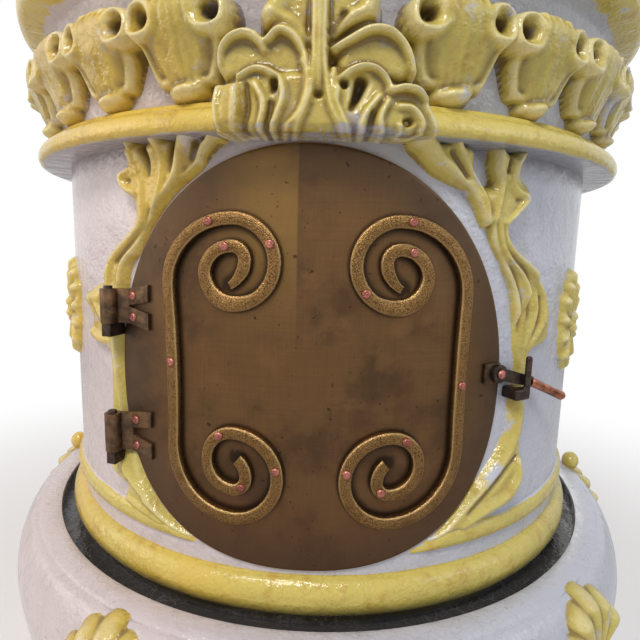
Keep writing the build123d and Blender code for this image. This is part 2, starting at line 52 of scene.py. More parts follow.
view = bpy.data.objects.new("view", lens_data)
bpy.context.scene.collection.objects.link(view)
view.matrix_world = (
    Matrix.Rotation(view_azimuth, 4, "Z")
    @ Matrix.Translation(eye)
    @ Matrix.Rotation(pi / 2 - view_pitch, 4, "X")
    @ Matrix.Rotation(view_roll, 4, "Z")
)
bpy.context.scene.camera = view
bpy.context.scene.view_settings.view_transform = "Standard"

# ---- The studio ----
# A plain pale floor that runs out into a white surround, a large soft lamp over the front and
# weaker ones at the sides, so that glaze and brass have something to shine with.


def srgb(red, green, blue):
    """A colour given as it looks on a screen, 0 to 255, as Blender wants it."""
    return tuple(
        (c / 255 / 12.92 if c <= 10.3 else ((c / 255 + 0.055) / 1.055) ** 2.4)
        for c in (red, green, blue)
    ) + (1.0,)


def ramp(tree, source, low, high):
    """A source faded from 0 at low to 1 at high."""
    node = tree.nodes.new("ShaderNodeMapRange")
    node.interpolation_type = "SMOOTHSTEP"
    tree.links.new(source, node.inputs["Value"])
    node.inputs["From Min"].default_value = low
    node.inputs["From Max"].default_value = high
    return node.outputs["Result"]


def arithmetic(tree, operation, first, second=0.0):
    """One sum of two sockets or plain values."""
    node = tree.nodes.new("ShaderNodeMath")
    node.operation = operation
    for slot, value in zip(node.inputs, (first, second)):
        if isinstance(value, bpy.types.NodeSocket):
            tree.links.new(value, slot)
        else:
            slot.default_value = value
    return node.outputs[0]


def times(tree, first, second):
    """Two sockets or plain values multiplied."""
    return arithmetic(tree, "MULTIPLY", first, second)


def shader_mix(tree, factor, first, second):
    """One shader laid over another by a factor."""
    mix = tree.nodes.new("ShaderNodeMixShader")
    for slot, socket in zip(mix.inputs, (factor, first, second)):
        tree.links.new(socket, slot)
    return mix.outputs["Shader"]


world = bpy.data.worlds.new("surround")
bpy.context.scene.world = world
world.use_nodes = True
tree = world.node_tree
tree.nodes.clear()
ray = tree.nodes.new("ShaderNodeLightPath").outputs
mirrored = arithmetic(tree, "MAXIMUM", ray["Is Glossy Ray"], ray["Is Transmission Ray"])
seen = arithmetic(tree, "MAXIMUM", ray["Is Camera Ray"], mirrored)
surrounds = []
for colour, strength in ((srgb(216, 214, 218), 0.42), ((1, 1, 1, 1), 1.0)):
    surround = tree.nodes.new("ShaderNodeBackground")
    surround.inputs["Color"].default_value = colour
    surround.inputs["Strength"].default_value = strength
    surrounds.append(surround.outputs["Background"])
out = tree.nodes.new("ShaderNodeOutputWorld")
tree.links.new(shader_mix(tree, seen, *surrounds), out.inputs["Surface"])

floor_paint = bpy.data.materials.new("floor_paint")
floor_paint.use_nodes = True
tree = floor_paint.node_tree
floor_shader = tree.nodes["Principled BSDF"]
floor_shader.inputs["Base Color"].default_value = srgb(236, 234, 232)
floor_shader.inputs["Roughness"].default_value = 0.9
away = tree.nodes.new("ShaderNodeVectorMath")
away.operation = "LENGTH"
tree.links.new(tree.nodes.new("ShaderNodeTexCoord").outputs["Object"], away.inputs[0])
ray = tree.nodes.new("ShaderNodeLightPath").outputs
shown = times(tree, ramp(tree, away.outputs["Value"], 0.45, 1.5), ray["Is Camera Ray"])
glow = tree.nodes.new("ShaderNodeEmission").outputs["Emission"]
paint = shader_mix(tree, shown, floor_shader.outputs["BSDF"], glow)
tree.links.new(paint, tree.nodes["Material Output"].inputs["Surface"])
floor_mesh = bmesh.new()
bmesh.ops.create_grid(floor_mesh, x_segments=2, y_segments=2, size=6.0)
floor_data = bpy.data.meshes.new("studio_floor")
floor_mesh.to_mesh(floor_data)
floor_mesh.free()
floor_data.materials.append(floor_paint)
studio_floor = bpy.data.objects.new("studio_floor", floor_data)
bpy.context.scene.collection.objects.link(studio_floor)

for lamp_name, spot, size, watts, colour in (
    ("lamp_over_front", (-0.35, -1.5, 2.1), 0.55, 29.0, (1.0, 0.97, 0.94)),
    ("lamp_right", (1.7, -1.0, 1.3), 1.0, 7.0, (0.80, 0.89, 1.0)),
    ("lamp_left", (-1.8, -0.6, 1.0), 1.2, 9.0, (1.0, 0.90, 0.82)),
    ("lamp_behind", (0.3, 1.8, 1.9), 1.4, 18.0, (1.0, 1.0, 1.0)),
):
    lamp_data = bpy.data.lights.new(lamp_name, "AREA")
    lamp_data.size = size
    lamp_data.energy = watts
    lamp_data.color = colour
    lamp = bpy.data.objects.new(lamp_name, lamp_data)
    bpy.context.scene.collection.objects.link(lamp)
    lamp.location = spot
    aim = Vector((0, 0, 0.55)) - Vector(spot)
    lamp.rotation_euler = aim.to_track_quat("-Z", "Y").to_euler()

# ---- Firebox ring ----
# The main drum is one thrown ring of earthenware under a white tin glaze that has crazed. Its foot
# roll and the string near the foot are run on the same ring and painted yellow, and the door's
# mouth is cut through the wall.


def tint_mix(tree, factor, first, second):
    """A colour mix node: factor, first and second are sockets or plain values."""
    mix = tree.nodes.new("ShaderNodeMix")
    mix.data_type = "RGBA"
    for slot, value in zip((mix.inputs[0], mix.inputs[6], mix.inputs[7]), (factor, first, second)):
        if isinstance(value, bpy.types.NodeSocket):
            tree.links.new(value, slot)
        else:
            slot.default_value = value
    return mix.outputs[2]


def stained(tree, tone, source, low, high, share, tint):
    """A tone with a tint laid over it by a share, where a source passes from low to high."""
    return tint_mix(tree, times(tree, ramp(tree, source, low, high), share), tone, tint)


def mottle(tree, coordinates, scale, detail=3.0, roughness=0.5, stretch=(1.0, 1.0, 1.0)):
    """Cloudy noise at a scale, drawn out where stretch is less than one."""
    mapping = tree.nodes.new("ShaderNodeMapping")
    mapping.inputs["Scale"].default_value = stretch
    tree.links.new(coordinates, mapping.inputs["Vector"])
    node = tree.nodes.new("ShaderNodeTexNoise")
    tree.links.new(mapping.outputs["Vector"], node.inputs["Vector"])
    node.inputs["Scale"].default_value = scale
    node.inputs["Detail"].default_value = detail
    node.inputs["Roughness"].default_value = roughness
    return node.outputs["Fac"]


def written(tree, name):
    """A number that the mesh carries on its vertices."""
    node = tree.nodes.new("ShaderNodeAttribute")
    node.attribute_name = name
    return node.outputs["Fac"]


def new_finish(name, roughness, metallic=0.0):
    """A fresh material with its tree, shader and object coordinates."""
    material = bpy.data.materials.new(name)
    material.use_nodes = True
    tree = material.node_tree
    shader = tree.nodes["Principled BSDF"]
    shader.inputs["Roughness"].default_value = roughness
    shader.inputs["Metallic"].default_value = metallic
    place = tree.nodes.new("ShaderNodeTexCoord").outputs["Object"]
    return material, tree, shader, place


def bumped(tree, shader, height, distance, strength=1.0):
    """Runs a height through a bump node to the shader."""
    node = tree.nodes.new("ShaderNodeBump")
    node.inputs["Distance"].default_value = distance
    node.inputs["Strength"].default_value = strength
    tree.links.new(height, node.inputs["Height"])
    tree.links.new(node.outputs["Normal"], shader.inputs["Normal"])


def glaze():
    """Crazed tin glaze, white or yellow, thin on crests, thick and dark in hollows, with painted light and
    shade.
    """
    material, tree, shader, place = new_finish("tin_glaze", 0.16)
    cloud = mottle(tree, place, 5.0)
    fine = mottle(tree, place, 70.0, 4.0, 0.62)
    streak = mottle(tree, place, 42.0, 4.0, 0.62)
    parts = tree.nodes.new("ShaderNodeSeparateXYZ")
    tree.links.new(place, parts.inputs[0])
    # Painted light: the white and the yellow turn warmer on the left and cooler and a little darker on the
    # right, as the side lamps would tint them.
    to_right = arithmetic(tree, "ADD", parts.outputs["X"], times(tree, cloud, 0.2))
    side = ramp(tree, to_right, -0.05, 0.25)
    ground = tint_mix(tree, side, srgb(208, 195, 195), srgb(190, 193, 204))
    ground = stained(tree, ground, fine, 0.5, 0.8, 0.6, srgb(180, 173, 174))
    yellow = tint_mix(tree, side, srgb(216, 184, 82), srgb(204, 188, 98))
    yellow = tint_mix(tree, ramp(tree, cloud, 0.45, 0.65), yellow, srgb(208, 190, 98))
    yellow = stained(tree, yellow, fine, 0.5, 0.72, 0.7, srgb(186, 150, 62))
    worn_off = times(tree, arithmetic(tree, "SUBTRACT", streak, 0.5), 2.8)
    amount = ramp(tree, arithmetic(tree, "ADD", written(tree, "yellow"), worn_off), 0.40, 0.80)
    amount = times(tree, amount, ramp(tree, written(tree, "yellow"), 0.3, 0.6))
    colour = tint_mix(tree, amount, ground, yellow)
    pale = tint_mix(tree, amount, srgb(218, 212, 214), srgb(230, 221, 180))
    colour = stained(tree, colour, written(tree, "crest"), 0.2, 1.0, 0.5, pale)
    # Glaze gathered thick in low places and pressed hollows, darkened further as painted shade.
    sunk = times(tree, written(tree, "crest"), -1.0)
    pooled_and_shaded = tint_mix(tree, amount, srgb(150, 142, 140), srgb(146, 116, 52))
    colour = stained(tree, colour, sunk, 0.05, 0.8, 0.85, pooled_and_shaded)
    deep = tint_mix(tree, amount, srgb(118, 112, 110), srgb(116, 92, 50))
    colour = tint_mix(tree, written(tree, "hollow"), colour, deep)
    grime = mottle(tree, place, 240.0, 3.0, 0.6)
    colour = stained(tree, colour, grime, 0.64, 0.76, 0.4, srgb(112, 98, 78))
    # Painted shade, with real soot in the base's channel: greys the foot roll's underside, the wall under
    # the top moulding, the moulding's underside, the channel and the low places of modelled clay.
    colour = tint_mix(tree, written(tree, "soot_and_shade"), colour, srgb(40, 37, 32))

    warp = tree.nodes.new("ShaderNodeTexNoise")
    tree.links.new(place, warp.inputs["Vector"])
    warp.inputs["Scale"].default_value = 40.0
    shift = tree.nodes.new("ShaderNodeVectorMath")
    shift.operation = "MULTIPLY_ADD"
    tree.links.new(warp.outputs["Color"], shift.inputs[0])
    shift.inputs[1].default_value = (0.012, 0.012, 0.012)
    tree.links.new(place, shift.inputs[2])
    craze = None
    for cells, width, dark in ((85.0, 0.03, 0.3), (210.0, 0.045, 0.18)):
        cell = tree.nodes.new("ShaderNodeTexVoronoi")
        cell.feature = "DISTANCE_TO_EDGE"
        cell.inputs["Scale"].default_value = cells
        tree.links.new(shift.outputs["Vector"], cell.inputs["Vector"])
        line = arithmetic(tree, "SUBTRACT", 1.0, ramp(tree, cell.outputs["Distance"], 0.0, width))
        line = times(tree, line, dark)
        craze = line if craze is None else arithmetic(tree, "MAXIMUM", craze, line)
    craze = times(tree, craze, ramp(tree, mottle(tree, place, 9.0), 0.35, 0.6))
    crack = tint_mix(tree, amount, srgb(140, 134, 134), srgb(140, 112, 60))
    colour = tint_mix(tree, craze, colour, crack)
    tree.links.new(colour, shader.inputs["Base Color"])
    wave = arithmetic(tree, "ADD", mottle(tree, place, 30.0, 2.0), times(tree, fine, 0.35))
    orange_peel = times(tree, mottle(tree, place, 320.0, 3.0), 0.22)
    wave = arithmetic(tree, "ADD", wave, orange_peel)
    bumped(tree, shader, wave, 0.005, 0.6)
    return material


tin_glaze = glaze()
drum = 0.250
mouth_lap = 0.013
door_waist = 0.4590
door_crown = 0.1490
door_tail = 0.1280
door_half = 0.1395


def wrapped(arc, radius, height):
    """A point on the round wall: arc is measured along the drum's face from the door's middle."""
    turn = arc / drum
    return Vector((radius * sin(turn), -radius * cos(turn), height))


def door_edge(turn, grow=0.0):
    """The door's outline at an angle from its widest line, as arc along the drum and height."""
    power = 2 / 2.0 if sin(turn) >= 0 else 2 / 2.4
    rise = door_crown if sin(turn) >= 0 else door_tail
    arc = copysign((door_half + grow) * abs(cos(turn)) ** power, cos(turn))
    return arc, door_waist + copysign((rise + grow) * abs(sin(turn)) ** power, sin(turn))


def outside_door(arc, height):
    """How far a place on the drum lies outside the door's edge, as a share of the door's reach."""
    rise = np.where(height > door_waist, door_crown, door_tail)
    power = np.where(height > door_waist, 2.0, 2.4)
    reach = np.abs(arc / door_half) ** power + np.abs((height - door_waist) / rise) ** power
    return reach ** (1 / power) - 1


def settled(bm, name, body, material, sharp=38.0):
    """Turns a finished bmesh into a smooth piece that rides on a body."""
    data = bpy.data.meshes.new(name)
    bm.to_mesh(data)
    bm.free()
    for face in data.polygons:
        face.use_smooth = True
    piece = bpy.data.objects.new(name, data)
    bpy.context.scene.collection.objects.link(piece)
    data.materials.append(material)
    if sharp:
        data.set_sharp_from_angle(angle=radians(sharp))
    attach(piece, body)
    return piece


def turned(corners, steps=256, closed=True):
    """Spins an outline of (radius, height) corners round the upright axis."""
    bm = bmesh.new()
    ring = [bm.verts.new((radius, 0, height)) for radius, height in corners]
    for first, second in zip(ring, ring[1:]):
        bm.edges.new((first, second))
    if closed:
        bm.edges.new((ring[-1], ring[0]))
    bmesh.ops.spin(
        bm, geom=bm.verts[:] + bm.edges[:], cent=(0, 0, 0), axis=(0, 0, 1), dvec=(0, 0, 0),
        angle=2 * pi, steps=steps, use_merge=True, use_normal_flip=False, use_duplicate=False,
    )
    bmesh.ops.remove_doubles(bm, verts=bm.verts[:], dist=1e-6)
    bmesh.ops.recalc_face_normals(bm, faces=bm.faces[:])
    return bm


def rolled(middle, half_height, proud, steps):
    """A half-round moulding's outline on the drum, from its foot to its top."""
    turns = [pi * (step / steps - 0.5) for step in range(steps + 1)]
    return [(drum + proud * cos(turn), middle + half_height * sin(turn)) for turn in turns]


def coloured(bm, name, values):
    """Writes one number for each vertex, for the material to read."""
    layer = bm.verts.layers.float.new(name)
    for vertex, value in zip(bm.verts, values):
        vertex[layer] = float(value)


def pierced(piece, flat_corners, direction, length):
    """Cuts a straight prism through a piece and bakes the cut into its mesh."""
    cutter = bmesh.new()
    face = cutter.faces.new([cutter.verts.new(corner) for corner in flat_corners])
    pushed = bmesh.ops.extrude_face_region(cutter, geom=[face])
    moved = [item for item in pushed["geom"] if isinstance(item, bmesh.types.BMVert)]
    bmesh.ops.translate(cutter, vec=Vector(direction) * length, verts=moved)
    bmesh.ops.recalc_face_normals(cutter, faces=cutter.faces[:])
    data = bpy.data.meshes.new("cutter")
    cutter.to_mesh(data)
    cutter.free()
    tool = bpy.data.objects.new("cutter", data)
    bpy.context.scene.collection.objects.link(tool)
    cut = piece.modifiers.new("cut", "BOOLEAN")
    cut.object = tool
    cut.operation = "DIFFERENCE"
    cut.solver = "EXACT"
    bpy.context.view_layer.update()
    reader = piece.evaluated_get(bpy.context.evaluated_depsgraph_get())
    baked = bpy.data.meshes.new_from_object(reader)
    piece.modifiers.clear()
    piece.data = baked
    baked.set_sharp_from_angle(angle=radians(38))
    bpy.data.objects.remove(tool)


drum_bore = 0.228
foot_z, soffit_z, ring_top = 0.288, 0.6095, 0.629
roll_z, roll_half, roll_proud, roll_top = 0.312, 0.0140, 0.0100, 0.3265
string_z, string_half, string_proud = 0.347, 0.0075, 0.0045
outline = [(drum_bore, foot_z), (0.249, foot_z), (drum, foot_z + 0.009)]
outline += rolled(roll_z, roll_half, roll_proud, 14)[1:]
outline += [(drum, 0.3275 + step * 0.0016) for step in range(24)]
outline += [(drum, 0.3675 + (soffit_z - 0.3675) * step / 44) for step in range(45)]
outline += [(drum_bore, soffit_z)]
ring = turned(outline, 360)
spots = np.array([vertex.co for vertex in ring.verts])
radius = np.hypot(spots[:, 0], spots[:, 1])
arc = np.arctan2(spots[:, 0], -spots[:, 1]) * drum
clear = np.clip((outside_door(arc, spots[:, 2]) - 0.015) / 0.03, 0, 1)
string = np.sqrt(np.clip(1 - ((spots[:, 2] - string_z) / string_half) ** 2, 0, 1))
string = string * string_proud * clear
string = np.where(np.abs(radius - drum) < 0.0003, string, 0)
for vertex, lift in zip(ring.verts, string):
    if lift > 0:
        vertex.co.xy *= (drum + lift) / drum
on_foot = (spots[:, 2] < roll_top) & (radius > 0.2495)
coloured(ring, "yellow", np.where(on_foot | (string > 0.0008), 1.4, 0.0))
# Painted shade: the foot roll darkens towards its underside, and the wall just under the top moulding is
# greyed as if in its shadow, less so over the door's middle.
shade_fade = 0.016
roll_underside_shade = np.clip((roll_z - spots[:, 2]) / shade_fade, 0, 1) ** 0.9 * 0.95
soffit_shadow = np.clip(1 - (soffit_z - spots[:, 2]) / shade_fade, 0, 1) * 0.5
soffit_shadow = soffit_shadow * np.clip(np.abs(arc) / 0.08, 0.2, 1)
coloured(ring, "soot_and_shade", np.where(radius > 0.2455, np.maximum(roll_underside_shade, soffit_shadow), 0))
firebox_ring = settled(ring, "firebox_ring_glazed", "stove", tin_glaze, None)
mouth_corners = [door_edge(2 * pi * step / 96, -mouth_lap) for step in range(96)]
before_door = -0.3
mouth_corners = [(drum * sin(a / drum), before_door, z) for a, z in mouth_corners]
pierced(firebox_ring, mouth_corners, (0, 1, 0), 0.15)
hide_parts("firebox_ring")

# ---- Top moulding ----
# A narrow ring of its own lies on the drum and overhangs the door, run to an ogee and painted
# yellow.
outline = [(drum_bore, soffit_z), (drum, soffit_z), (0.2560, soffit_z + 0.0002)]
outline += [(0.2700, soffit_z + 0.0002)]
outline += [(0.2731, soffit_z + 0.0012), (0.2745, soffit_z + 0.0042), (0.2742, soffit_z + 0.0082)]
outline += [(0.2722, soffit_z + 0.0118), (0.2692, soffit_z + 0.0140), (0.2662, soffit_z + 0.0152)]
outline += [(0.2642, soffit_z + 0.0168), (0.2634, soffit_z + 0.0186), (0.2615, ring_top)]
outline += [(drum_bore, ring_top)]
moulding = turned(outline, 288)
paint = []
for vertex in moulding.verts:
    underneath = vertex.co.xy.length <= 0.2725 and vertex.co.z <= soffit_z + 0.002
    paint.append(0.0 if underneath else 1.4)
coloured(moulding, "yellow", paint)
# Painted shadow: the white underside of the moulding is greyed.
coloured(moulding, "soot_and_shade", [0.0 if painted else 0.45 for painted in paint])
moulding_ring = settled(moulding, "moulding_ring_glazed", "stove", tin_glaze, 50)
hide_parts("moulding_ring")

# ---- Base ----
# The flared foot is one heavy turned ring in the same white glaze, with a rounded lip that the
# drum sinks behind.


def smooth_path(points, steps=7):
    """A stroke's points with a curve run through them."""
    rows = np.array(points, float)
    if len(rows) < 2:
        return rows
    rows = np.vstack([2 * rows[0] - rows[1], rows, 2 * rows[-1] - rows[-2]])
    path = []
    for index in range(1, len(rows) - 2):
        before, first, second, after = rows[index - 1:index + 3]
        for step in range(steps):
            t = step / steps
            path.append(
                0.5 * (2 * first + (second - before) * t
                       + (2 * before - 5 * first + 4 * second - after) * t ** 2
                       + (3 * first - before - 3 * second + after) * t ** 3)
            )
    path.append(rows[-2])
    return np.array(path)


flare = [(0.2915, 0.3002), (0.2958, 0.2975), (0.3015, 0.2880), (0.3060, 0.2755), (0.3081, 0.2610)]
flare += [(0.3068, 0.2440), (0.3042, 0.2280), (0.3022, 0.2080), (0.3016, 0.1600), (0.3020, 0.1150)]
flare += [(0.3042, 0.0900), (0.3090, 0.0700), (0.3135, 0.0580)]
shoulder = [tuple(row) for row in smooth_path(flare, 4)]
outline = [(0.270, 0.2885), (0.270, 0.2995), (0.2712, 0.3022), (0.274, 0.3030), (0.2865, 0.3030)]
outline += [(0.2885, 0.3012), (0.2898, 0.3002)] + shoulder
outline += [(0.3145, 0.0520), (0.3172, 0.0488), (0.3180, 0.0440), (0.3180, 0.0040), (0.3160, 0.0)]
outline += [(0.205, 0.0), (0.205, 0.288)]
base = turned(outline, 256)
coloured(base, "yellow", [0.0] * len(base.verts))
# Painted shade with some soot: the channel behind the lip where the drum stands is darkened nearly to
# black.
channel_radius, channel_floor = 0.2708, 0.287
in_channel = [v.co.xy.length < channel_radius and v.co.z > channel_floor for v in base.verts]
coloured(base, "soot_and_shade", [0.95 if inside else 0.0 for inside in in_channel])
base_ring = settled(base, "base_ring_glazed", "stove", tin_glaze, 50)
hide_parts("base_ring")

# ---- Modelled leaves beside the door ----
# Leaf stalks are pressed and modelled by hand on the wet wall and painted yellow. Each is an
# outline of clay with strokes laid over it, in millimetres: arc from the view's middle, height
# over its line, half width and how far the clay stands out.
view_arc = 0.0125
view_height = 0.545
far_below = -5.0  # millimetres: no clay
skirt = -2.5  # the clay's sheet ends where it lies this far under the wall
back_depth = 0.002
bedded = 0.0002  # modelled clay is bedded this far in the wall


def stroke_height(across, up, points, fullness=0.8):
    """How high one rounded stroke of clay stands at each place."""
    path = smooth_path(points)
    best = np.full(across.shape, far_below)
    if len(path) == 1:
        path = np.vstack([path, path])
    for start, end in zip(path[:-1], path[1:]):
        run = end[:2] - start[:2]
        length = max(float(run @ run), 1e-9)
        t = np.clip(((across - start[0]) * run[0] + (up - start[1]) * run[1]) / length, 0, 1)
        away = np.hypot(across - start[0] - t * run[0], up - start[1] - t * run[1])
        half = start[2] + t * (end[2] - start[2])
        height = start[3] + t * (end[3] - start[3])
        inside = 1 - (away / half) ** 2
        here = np.where(inside > 0, height * np.abs(inside) ** fullness, inside * 2.0)
        best = np.maximum(best, here)
    return best


def slab_height(across, up, corners, proud, edge):
    """How high a rounded slab of clay stands: proud lists (height up the slab, how far it stands)."""
    path = smooth_path(list(corners) + [corners[0]], 4)
    away = np.full(across.shape, 1e9)
    crossings = np.zeros(across.shape, int)
    for start, end in zip(path[:-1], path[1:]):
        run = end - start
        t = ((across - start[0]) * run[0] + (up - start[1]) * run[1]) / (run @ run + 1e-9)
        t = np.clip(t, 0, 1)
        away = np.minimum(away, np.hypot(across - start[0] - t * run[0], up - start[1] - t * run[1]))
        level = (start[1] > up) != (end[1] > up)
        crossings += level & (across < run[0] * (up - start[1]) / (run[1] + 1e-12) + start[0])
    depth = np.where(crossings % 2 == 1, away, -away)
    swell = (1 - (1 - np.clip(depth / edge, 0, 1)) ** 2) ** 0.8
    full = np.interp(up, [level for level, _ in proud], [stand for _, stand in proud])
    return np.where(depth > 0, full * swell, np.maximum(depth * 1.5, far_below))


def softened(field, passes):
    """A field of heights with each place averaged with its neighbours, over and over."""
    for _ in range(passes):
        wide = np.pad(field, 1, mode="edge")
        field = (wide[:-2, 1:-1] + wide[2:, 1:-1] + wide[1:-1, :-2] + wide[1:-1, 2:] + 2 * field) / 6
    return field


def relief(
    strokes, hollows, under, middle, lift, grain, slabs=(), cap=None, eased_by=None, tuck=None,
    blend=1.6, passes=5, low_shade_share=0.20, edge=7.0,
):
    """Clay modelled on the round wall and closed at the back.

    strokes and slabs are laid over each other and softened where they meet, then the hollows are
    pressed. under is the wall's radius, or a function of height that gives it, middle is the
    clay's arc and lift its height, in metres. cap gives the greatest height at each place, eased_by
    the share of its height that the clay keeps, and tuck moves a place that lies past another piece.
    blend softens where strokes meet, edge rounds the slabs and passes smooths the whole. A share of
    painted shade greys the low places.
    """
    marks = [point for points in strokes for point in points]
    low = np.array([min(p[i] - p[2] for p in marks) - 3 for i in (0, 1)])
    high = np.array([max(p[i] + p[2] for p in marks) + 3 for i in (0, 1)])
    for corners, _ in slabs:
        low = np.minimum(low, np.array(corners).min(axis=0) - 3)
        high = np.maximum(high, np.array(corners).max(axis=0) + 3)
    columns = int(ceil((high[0] - low[0]) / grain))
    rows = int(ceil((high[1] - low[1]) / grain))
    bm = bmesh.new()
    bmesh.ops.create_grid(bm, x_segments=columns, y_segments=rows, size=0.5)
    flat = np.array([vertex.co for vertex in bm.verts])
    column = np.rint((flat[:, 0] + 0.5) * columns).astype(int)
    row = np.rint((flat[:, 1] + 0.5) * rows).astype(int)
    across_line = np.linspace(low[0], high[0], columns + 1)
    across, up = np.meshgrid(across_line, np.linspace(low[1], high[1], rows + 1))
    ground = np.full(across.shape, far_below)
    layers = [slab_height(across, up, corners, proud, edge) for corners, proud in slabs]
    layers += [stroke_height(across, up, points) for points in strokes]
    for here in layers:
        gap = np.abs(ground - here)
        ground = np.maximum(ground, here) + np.clip(blend - gap, 0, None) ** 2 / (4 * blend)
    dug = np.zeros(across.shape)
    for points in hollows:
        dug = np.maximum(dug, np.clip(stroke_height(across, up, points, 1.0), 0, None))
    ground = ground - np.where(ground > 0, np.minimum(dug, ground * 0.85), 0)
    ground = softened(ground, passes)
    place = (middle + across / 1000, lift + up / 1000)
    if cap is not None:
        ground = np.minimum(ground, cap(*place))
    if eased_by is not None:
        ground = np.where(ground > 0, ground * eased_by(*place), ground)
    crest = (ground - softened(ground, int(8 / grain ** 2) + 2)) / 1.2
    yellow = bm.verts.layers.float.new("yellow")
    hollow = bm.verts.layers.float.new("hollow")
    ridge = bm.verts.layers.float.new("crest")
    low_shade_layer = bm.verts.layers.float.new("soot_and_shade")
    bare = []
    for vertex, r, c in zip(bm.verts, row, column):
        height = ground[r, c]
        z = lift + up[r, c] / 1000
        wall = under(z) if callable(under) else under
        radius = wall + max(height, skirt) / 1000
        if tuck:
            radius, z = tuck(radius, z, height)
        vertex.co = wrapped(middle + across[r, c] / 1000, radius, z)
        vertex[yellow] = min(1.0, max(0.0, 0.35 + height / 1.5))
        vertex[hollow] = min(0.7, dug[r, c] / 9)
        vertex[ridge] = max(-1.0, min(1.0, crest[r, c])) if height > 0.5 else 0.0
        # Painted shade: the low places between crests are greyed.
        vertex[low_shade_layer] = low_shade_share * min(1.3, max(0.0, 0.7 - crest[r, c]))
        if height <= skirt:
            bare.append(vertex)
    bmesh.ops.delete(bm, geom=bare, context="VERTS")
    bmesh.ops.delete(bm, geom=[v for v in bm.verts if not v.link_faces], context="VERTS")
    rim = [edge for edge in bm.edges if edge.is_boundary]
    back = bmesh.ops.extrude_edge_only(bm, edges=rim)["geom"]
    for vertex in (item for item in back if isinstance(item, bmesh.types.BMVert)):
        vertex.co.xy *= 1 - back_depth / vertex.co.xy.length
    bmesh.ops.holes_fill(bm, edges=[edge for edge in bm.edges if edge.is_boundary], sides=0)
    bmesh.ops.recalc_face_normals(bm, faces=bm.faces[:])
    return bm


def clear_of_door(arc, height):
    """The greatest height of clay beside the door, which swings clear of it."""
    return (outside_door(arc, height) * 135 - 1.6) * 1.8


latch_arc, latch_height = 0.134, 0.464


def under_latch(arc, height):
    """The share of its height that clay keeps where the latch's lever and grip swing over it."""
    reach, lowest, highest, fade = 88, -42, 66, 8
    room_at_rivet, tallest_clay = 2.9, 11.8
    across = (arc - latch_arc) * 1000
    up = (height - latch_height) * 1000
    bearing = np.degrees(np.arctan2(up, across))
    swept = np.clip((reach - np.hypot(across, up)) / fade, 0, 1)
    swept = swept * np.clip((bearing - lowest) / fade, 0, 1)
    swept = swept * np.clip((highest - bearing) / fade, 0, 1)
    room = room_at_rivet + np.clip(across, 0, None) ** 2 / (2000 * drum)
    return 1 - swept * (1 - np.minimum(1, room / tallest_clay))


left_outline = (
    (-142, 66), (-137, 52), (-146, 50), (-147, 42), (-137, 34), (-134, 24), (-137, 14), (-150, 5),
    (-164, -5), (-174, -18), (-178, -32), (-206, -36), (-207, -46), (-194, -55), (-200, -72),
    (-188, -76), (-172, -77), (-168, -92), (-170, -122), (-175, -153), (-169, -172), (-153, -178),
    (-156, -192), (-130, -199), (-88, -203), (-101, -189), (-117, -178), (-138, -156), (-149, -140),
    (-147, -117), (-147, -89), (-148, -65), (-145, -31), (-144, -22), (-140, -13), (-132, -5),
    (-124, 3), (-118, 10), (-112, 22), (-105, 32), (-96, 40), (-84, 48), (-72, 58), (-66, 66),
)
left_strokes = [
    [(-129, 66, 4, 17), (-128, 56, 3, 12), (-126, 47, 3, 10), (-124, 38, 4, 9), (-124, 26, 4.5, 9),
     (-126, 15, 5, 8.5), (-135, 6, 5, 8.5), (-148, -3, 5, 8.5), (-159, -12, 5, 8.5),
     (-163, -24, 5, 8.5), (-163, -36, 5, 8)],
    [(-107, 66, 7, 18), (-104, 59, 5, 14), (-104, 50, 4.5, 11), (-107, 39, 4.5, 10), (-112, 29, 4, 9)],
    [(-84, 66, 8, 19), (-90, 56, 6.5, 14), (-95, 46, 5, 11), (-102, 37, 3.5, 9), (-109, 28, 3, 8)],
    [(-67, 67, 3.5, 18), (-76, 57, 2.5, 12), (-80, 51, 2.5, 10), (-90, 42, 2.5, 8.5),
     (-101, 33, 2, 7.5)],
    [(-112, 29, 3, 8.5), (-117, 16, 3, 8.5), (-123, 6, 3, 8), (-132, -2, 3, 8), (-142, -8, 3.5, 8),
     (-149, -18, 4, 8), (-152, -33, 5, 8)],
    [(-129, 34, 5, 10), (-138, 38, 5, 11), (-141, 45, 4.5, 11.5), (-134, 49, 3, 11)],
    [(-177, -38, 9, 9), (-186, -42, 11, 9.5), (-172, -53, 9, 9.5), (-161, -62, 7.5, 8.5),
     (-157, -80, 7, 7.5)],
    [(-192, -66, 5, 8), (-180, -69, 6.5, 8), (-168, -70, 5.5, 7.5)],
    [(-160, -32, 6, 7.5), (-157, -62, 6, 7.5), (-159, -90, 5, 7), (-160, -118, 5, 7),
     (-160, -140, 6, 7.5)],
    [(-161, -148, 6, 8), (-150, -162, 7, 9.5), (-137, -175, 6, 9.5), (-123, -186, 5, 8),
     (-104, -195, 4.5, 6)],
    [(-140, -150, 3.5, 6.5), (-131, -163, 4, 7), (-117, -178, 4, 6.5), (-98, -193, 3.5, 5)],
    [(-149, -187, 5, 7.5), (-134, -190, 5.5, 7.5), (-116, -196, 4, 6)],
    [(-168, -154, 5, 8), (-161, -165, 5, 9), (-150, -171, 4.5, 8)],
]
left_hollows = [
    [(-120, 62, 3.5, 9), (-116, 54, 3, 6), (-116, 44, 1.5, 3)],
    [(-95, 66, 3.5, 12), (-97, 54, 2.5, 6), (-99, 46, 1.2, 3)], [(-79, 62, 2.5, 8), (-84, 53, 1.6, 4)],
    [(-118, 24, 1.2, 2.5), (-124, 12, 1.5, 3), (-138, 0, 1.8, 3), (-153, -12, 2, 3)],
    [(-187, -44, 4, 3), (-172, -58, 2.5, 2)], [(-134, 42, 1.6, 4)],
    [(-146, -170, 1.6, 3), (-132, -181, 1.6, 3)], [(-128, -172, 1.4, 3), (-112, -186, 1.4, 2.5)],
]
stalk_slab = ((-200, 5.0), (10, 6.0), (40, 7.5), (66, 13.0))
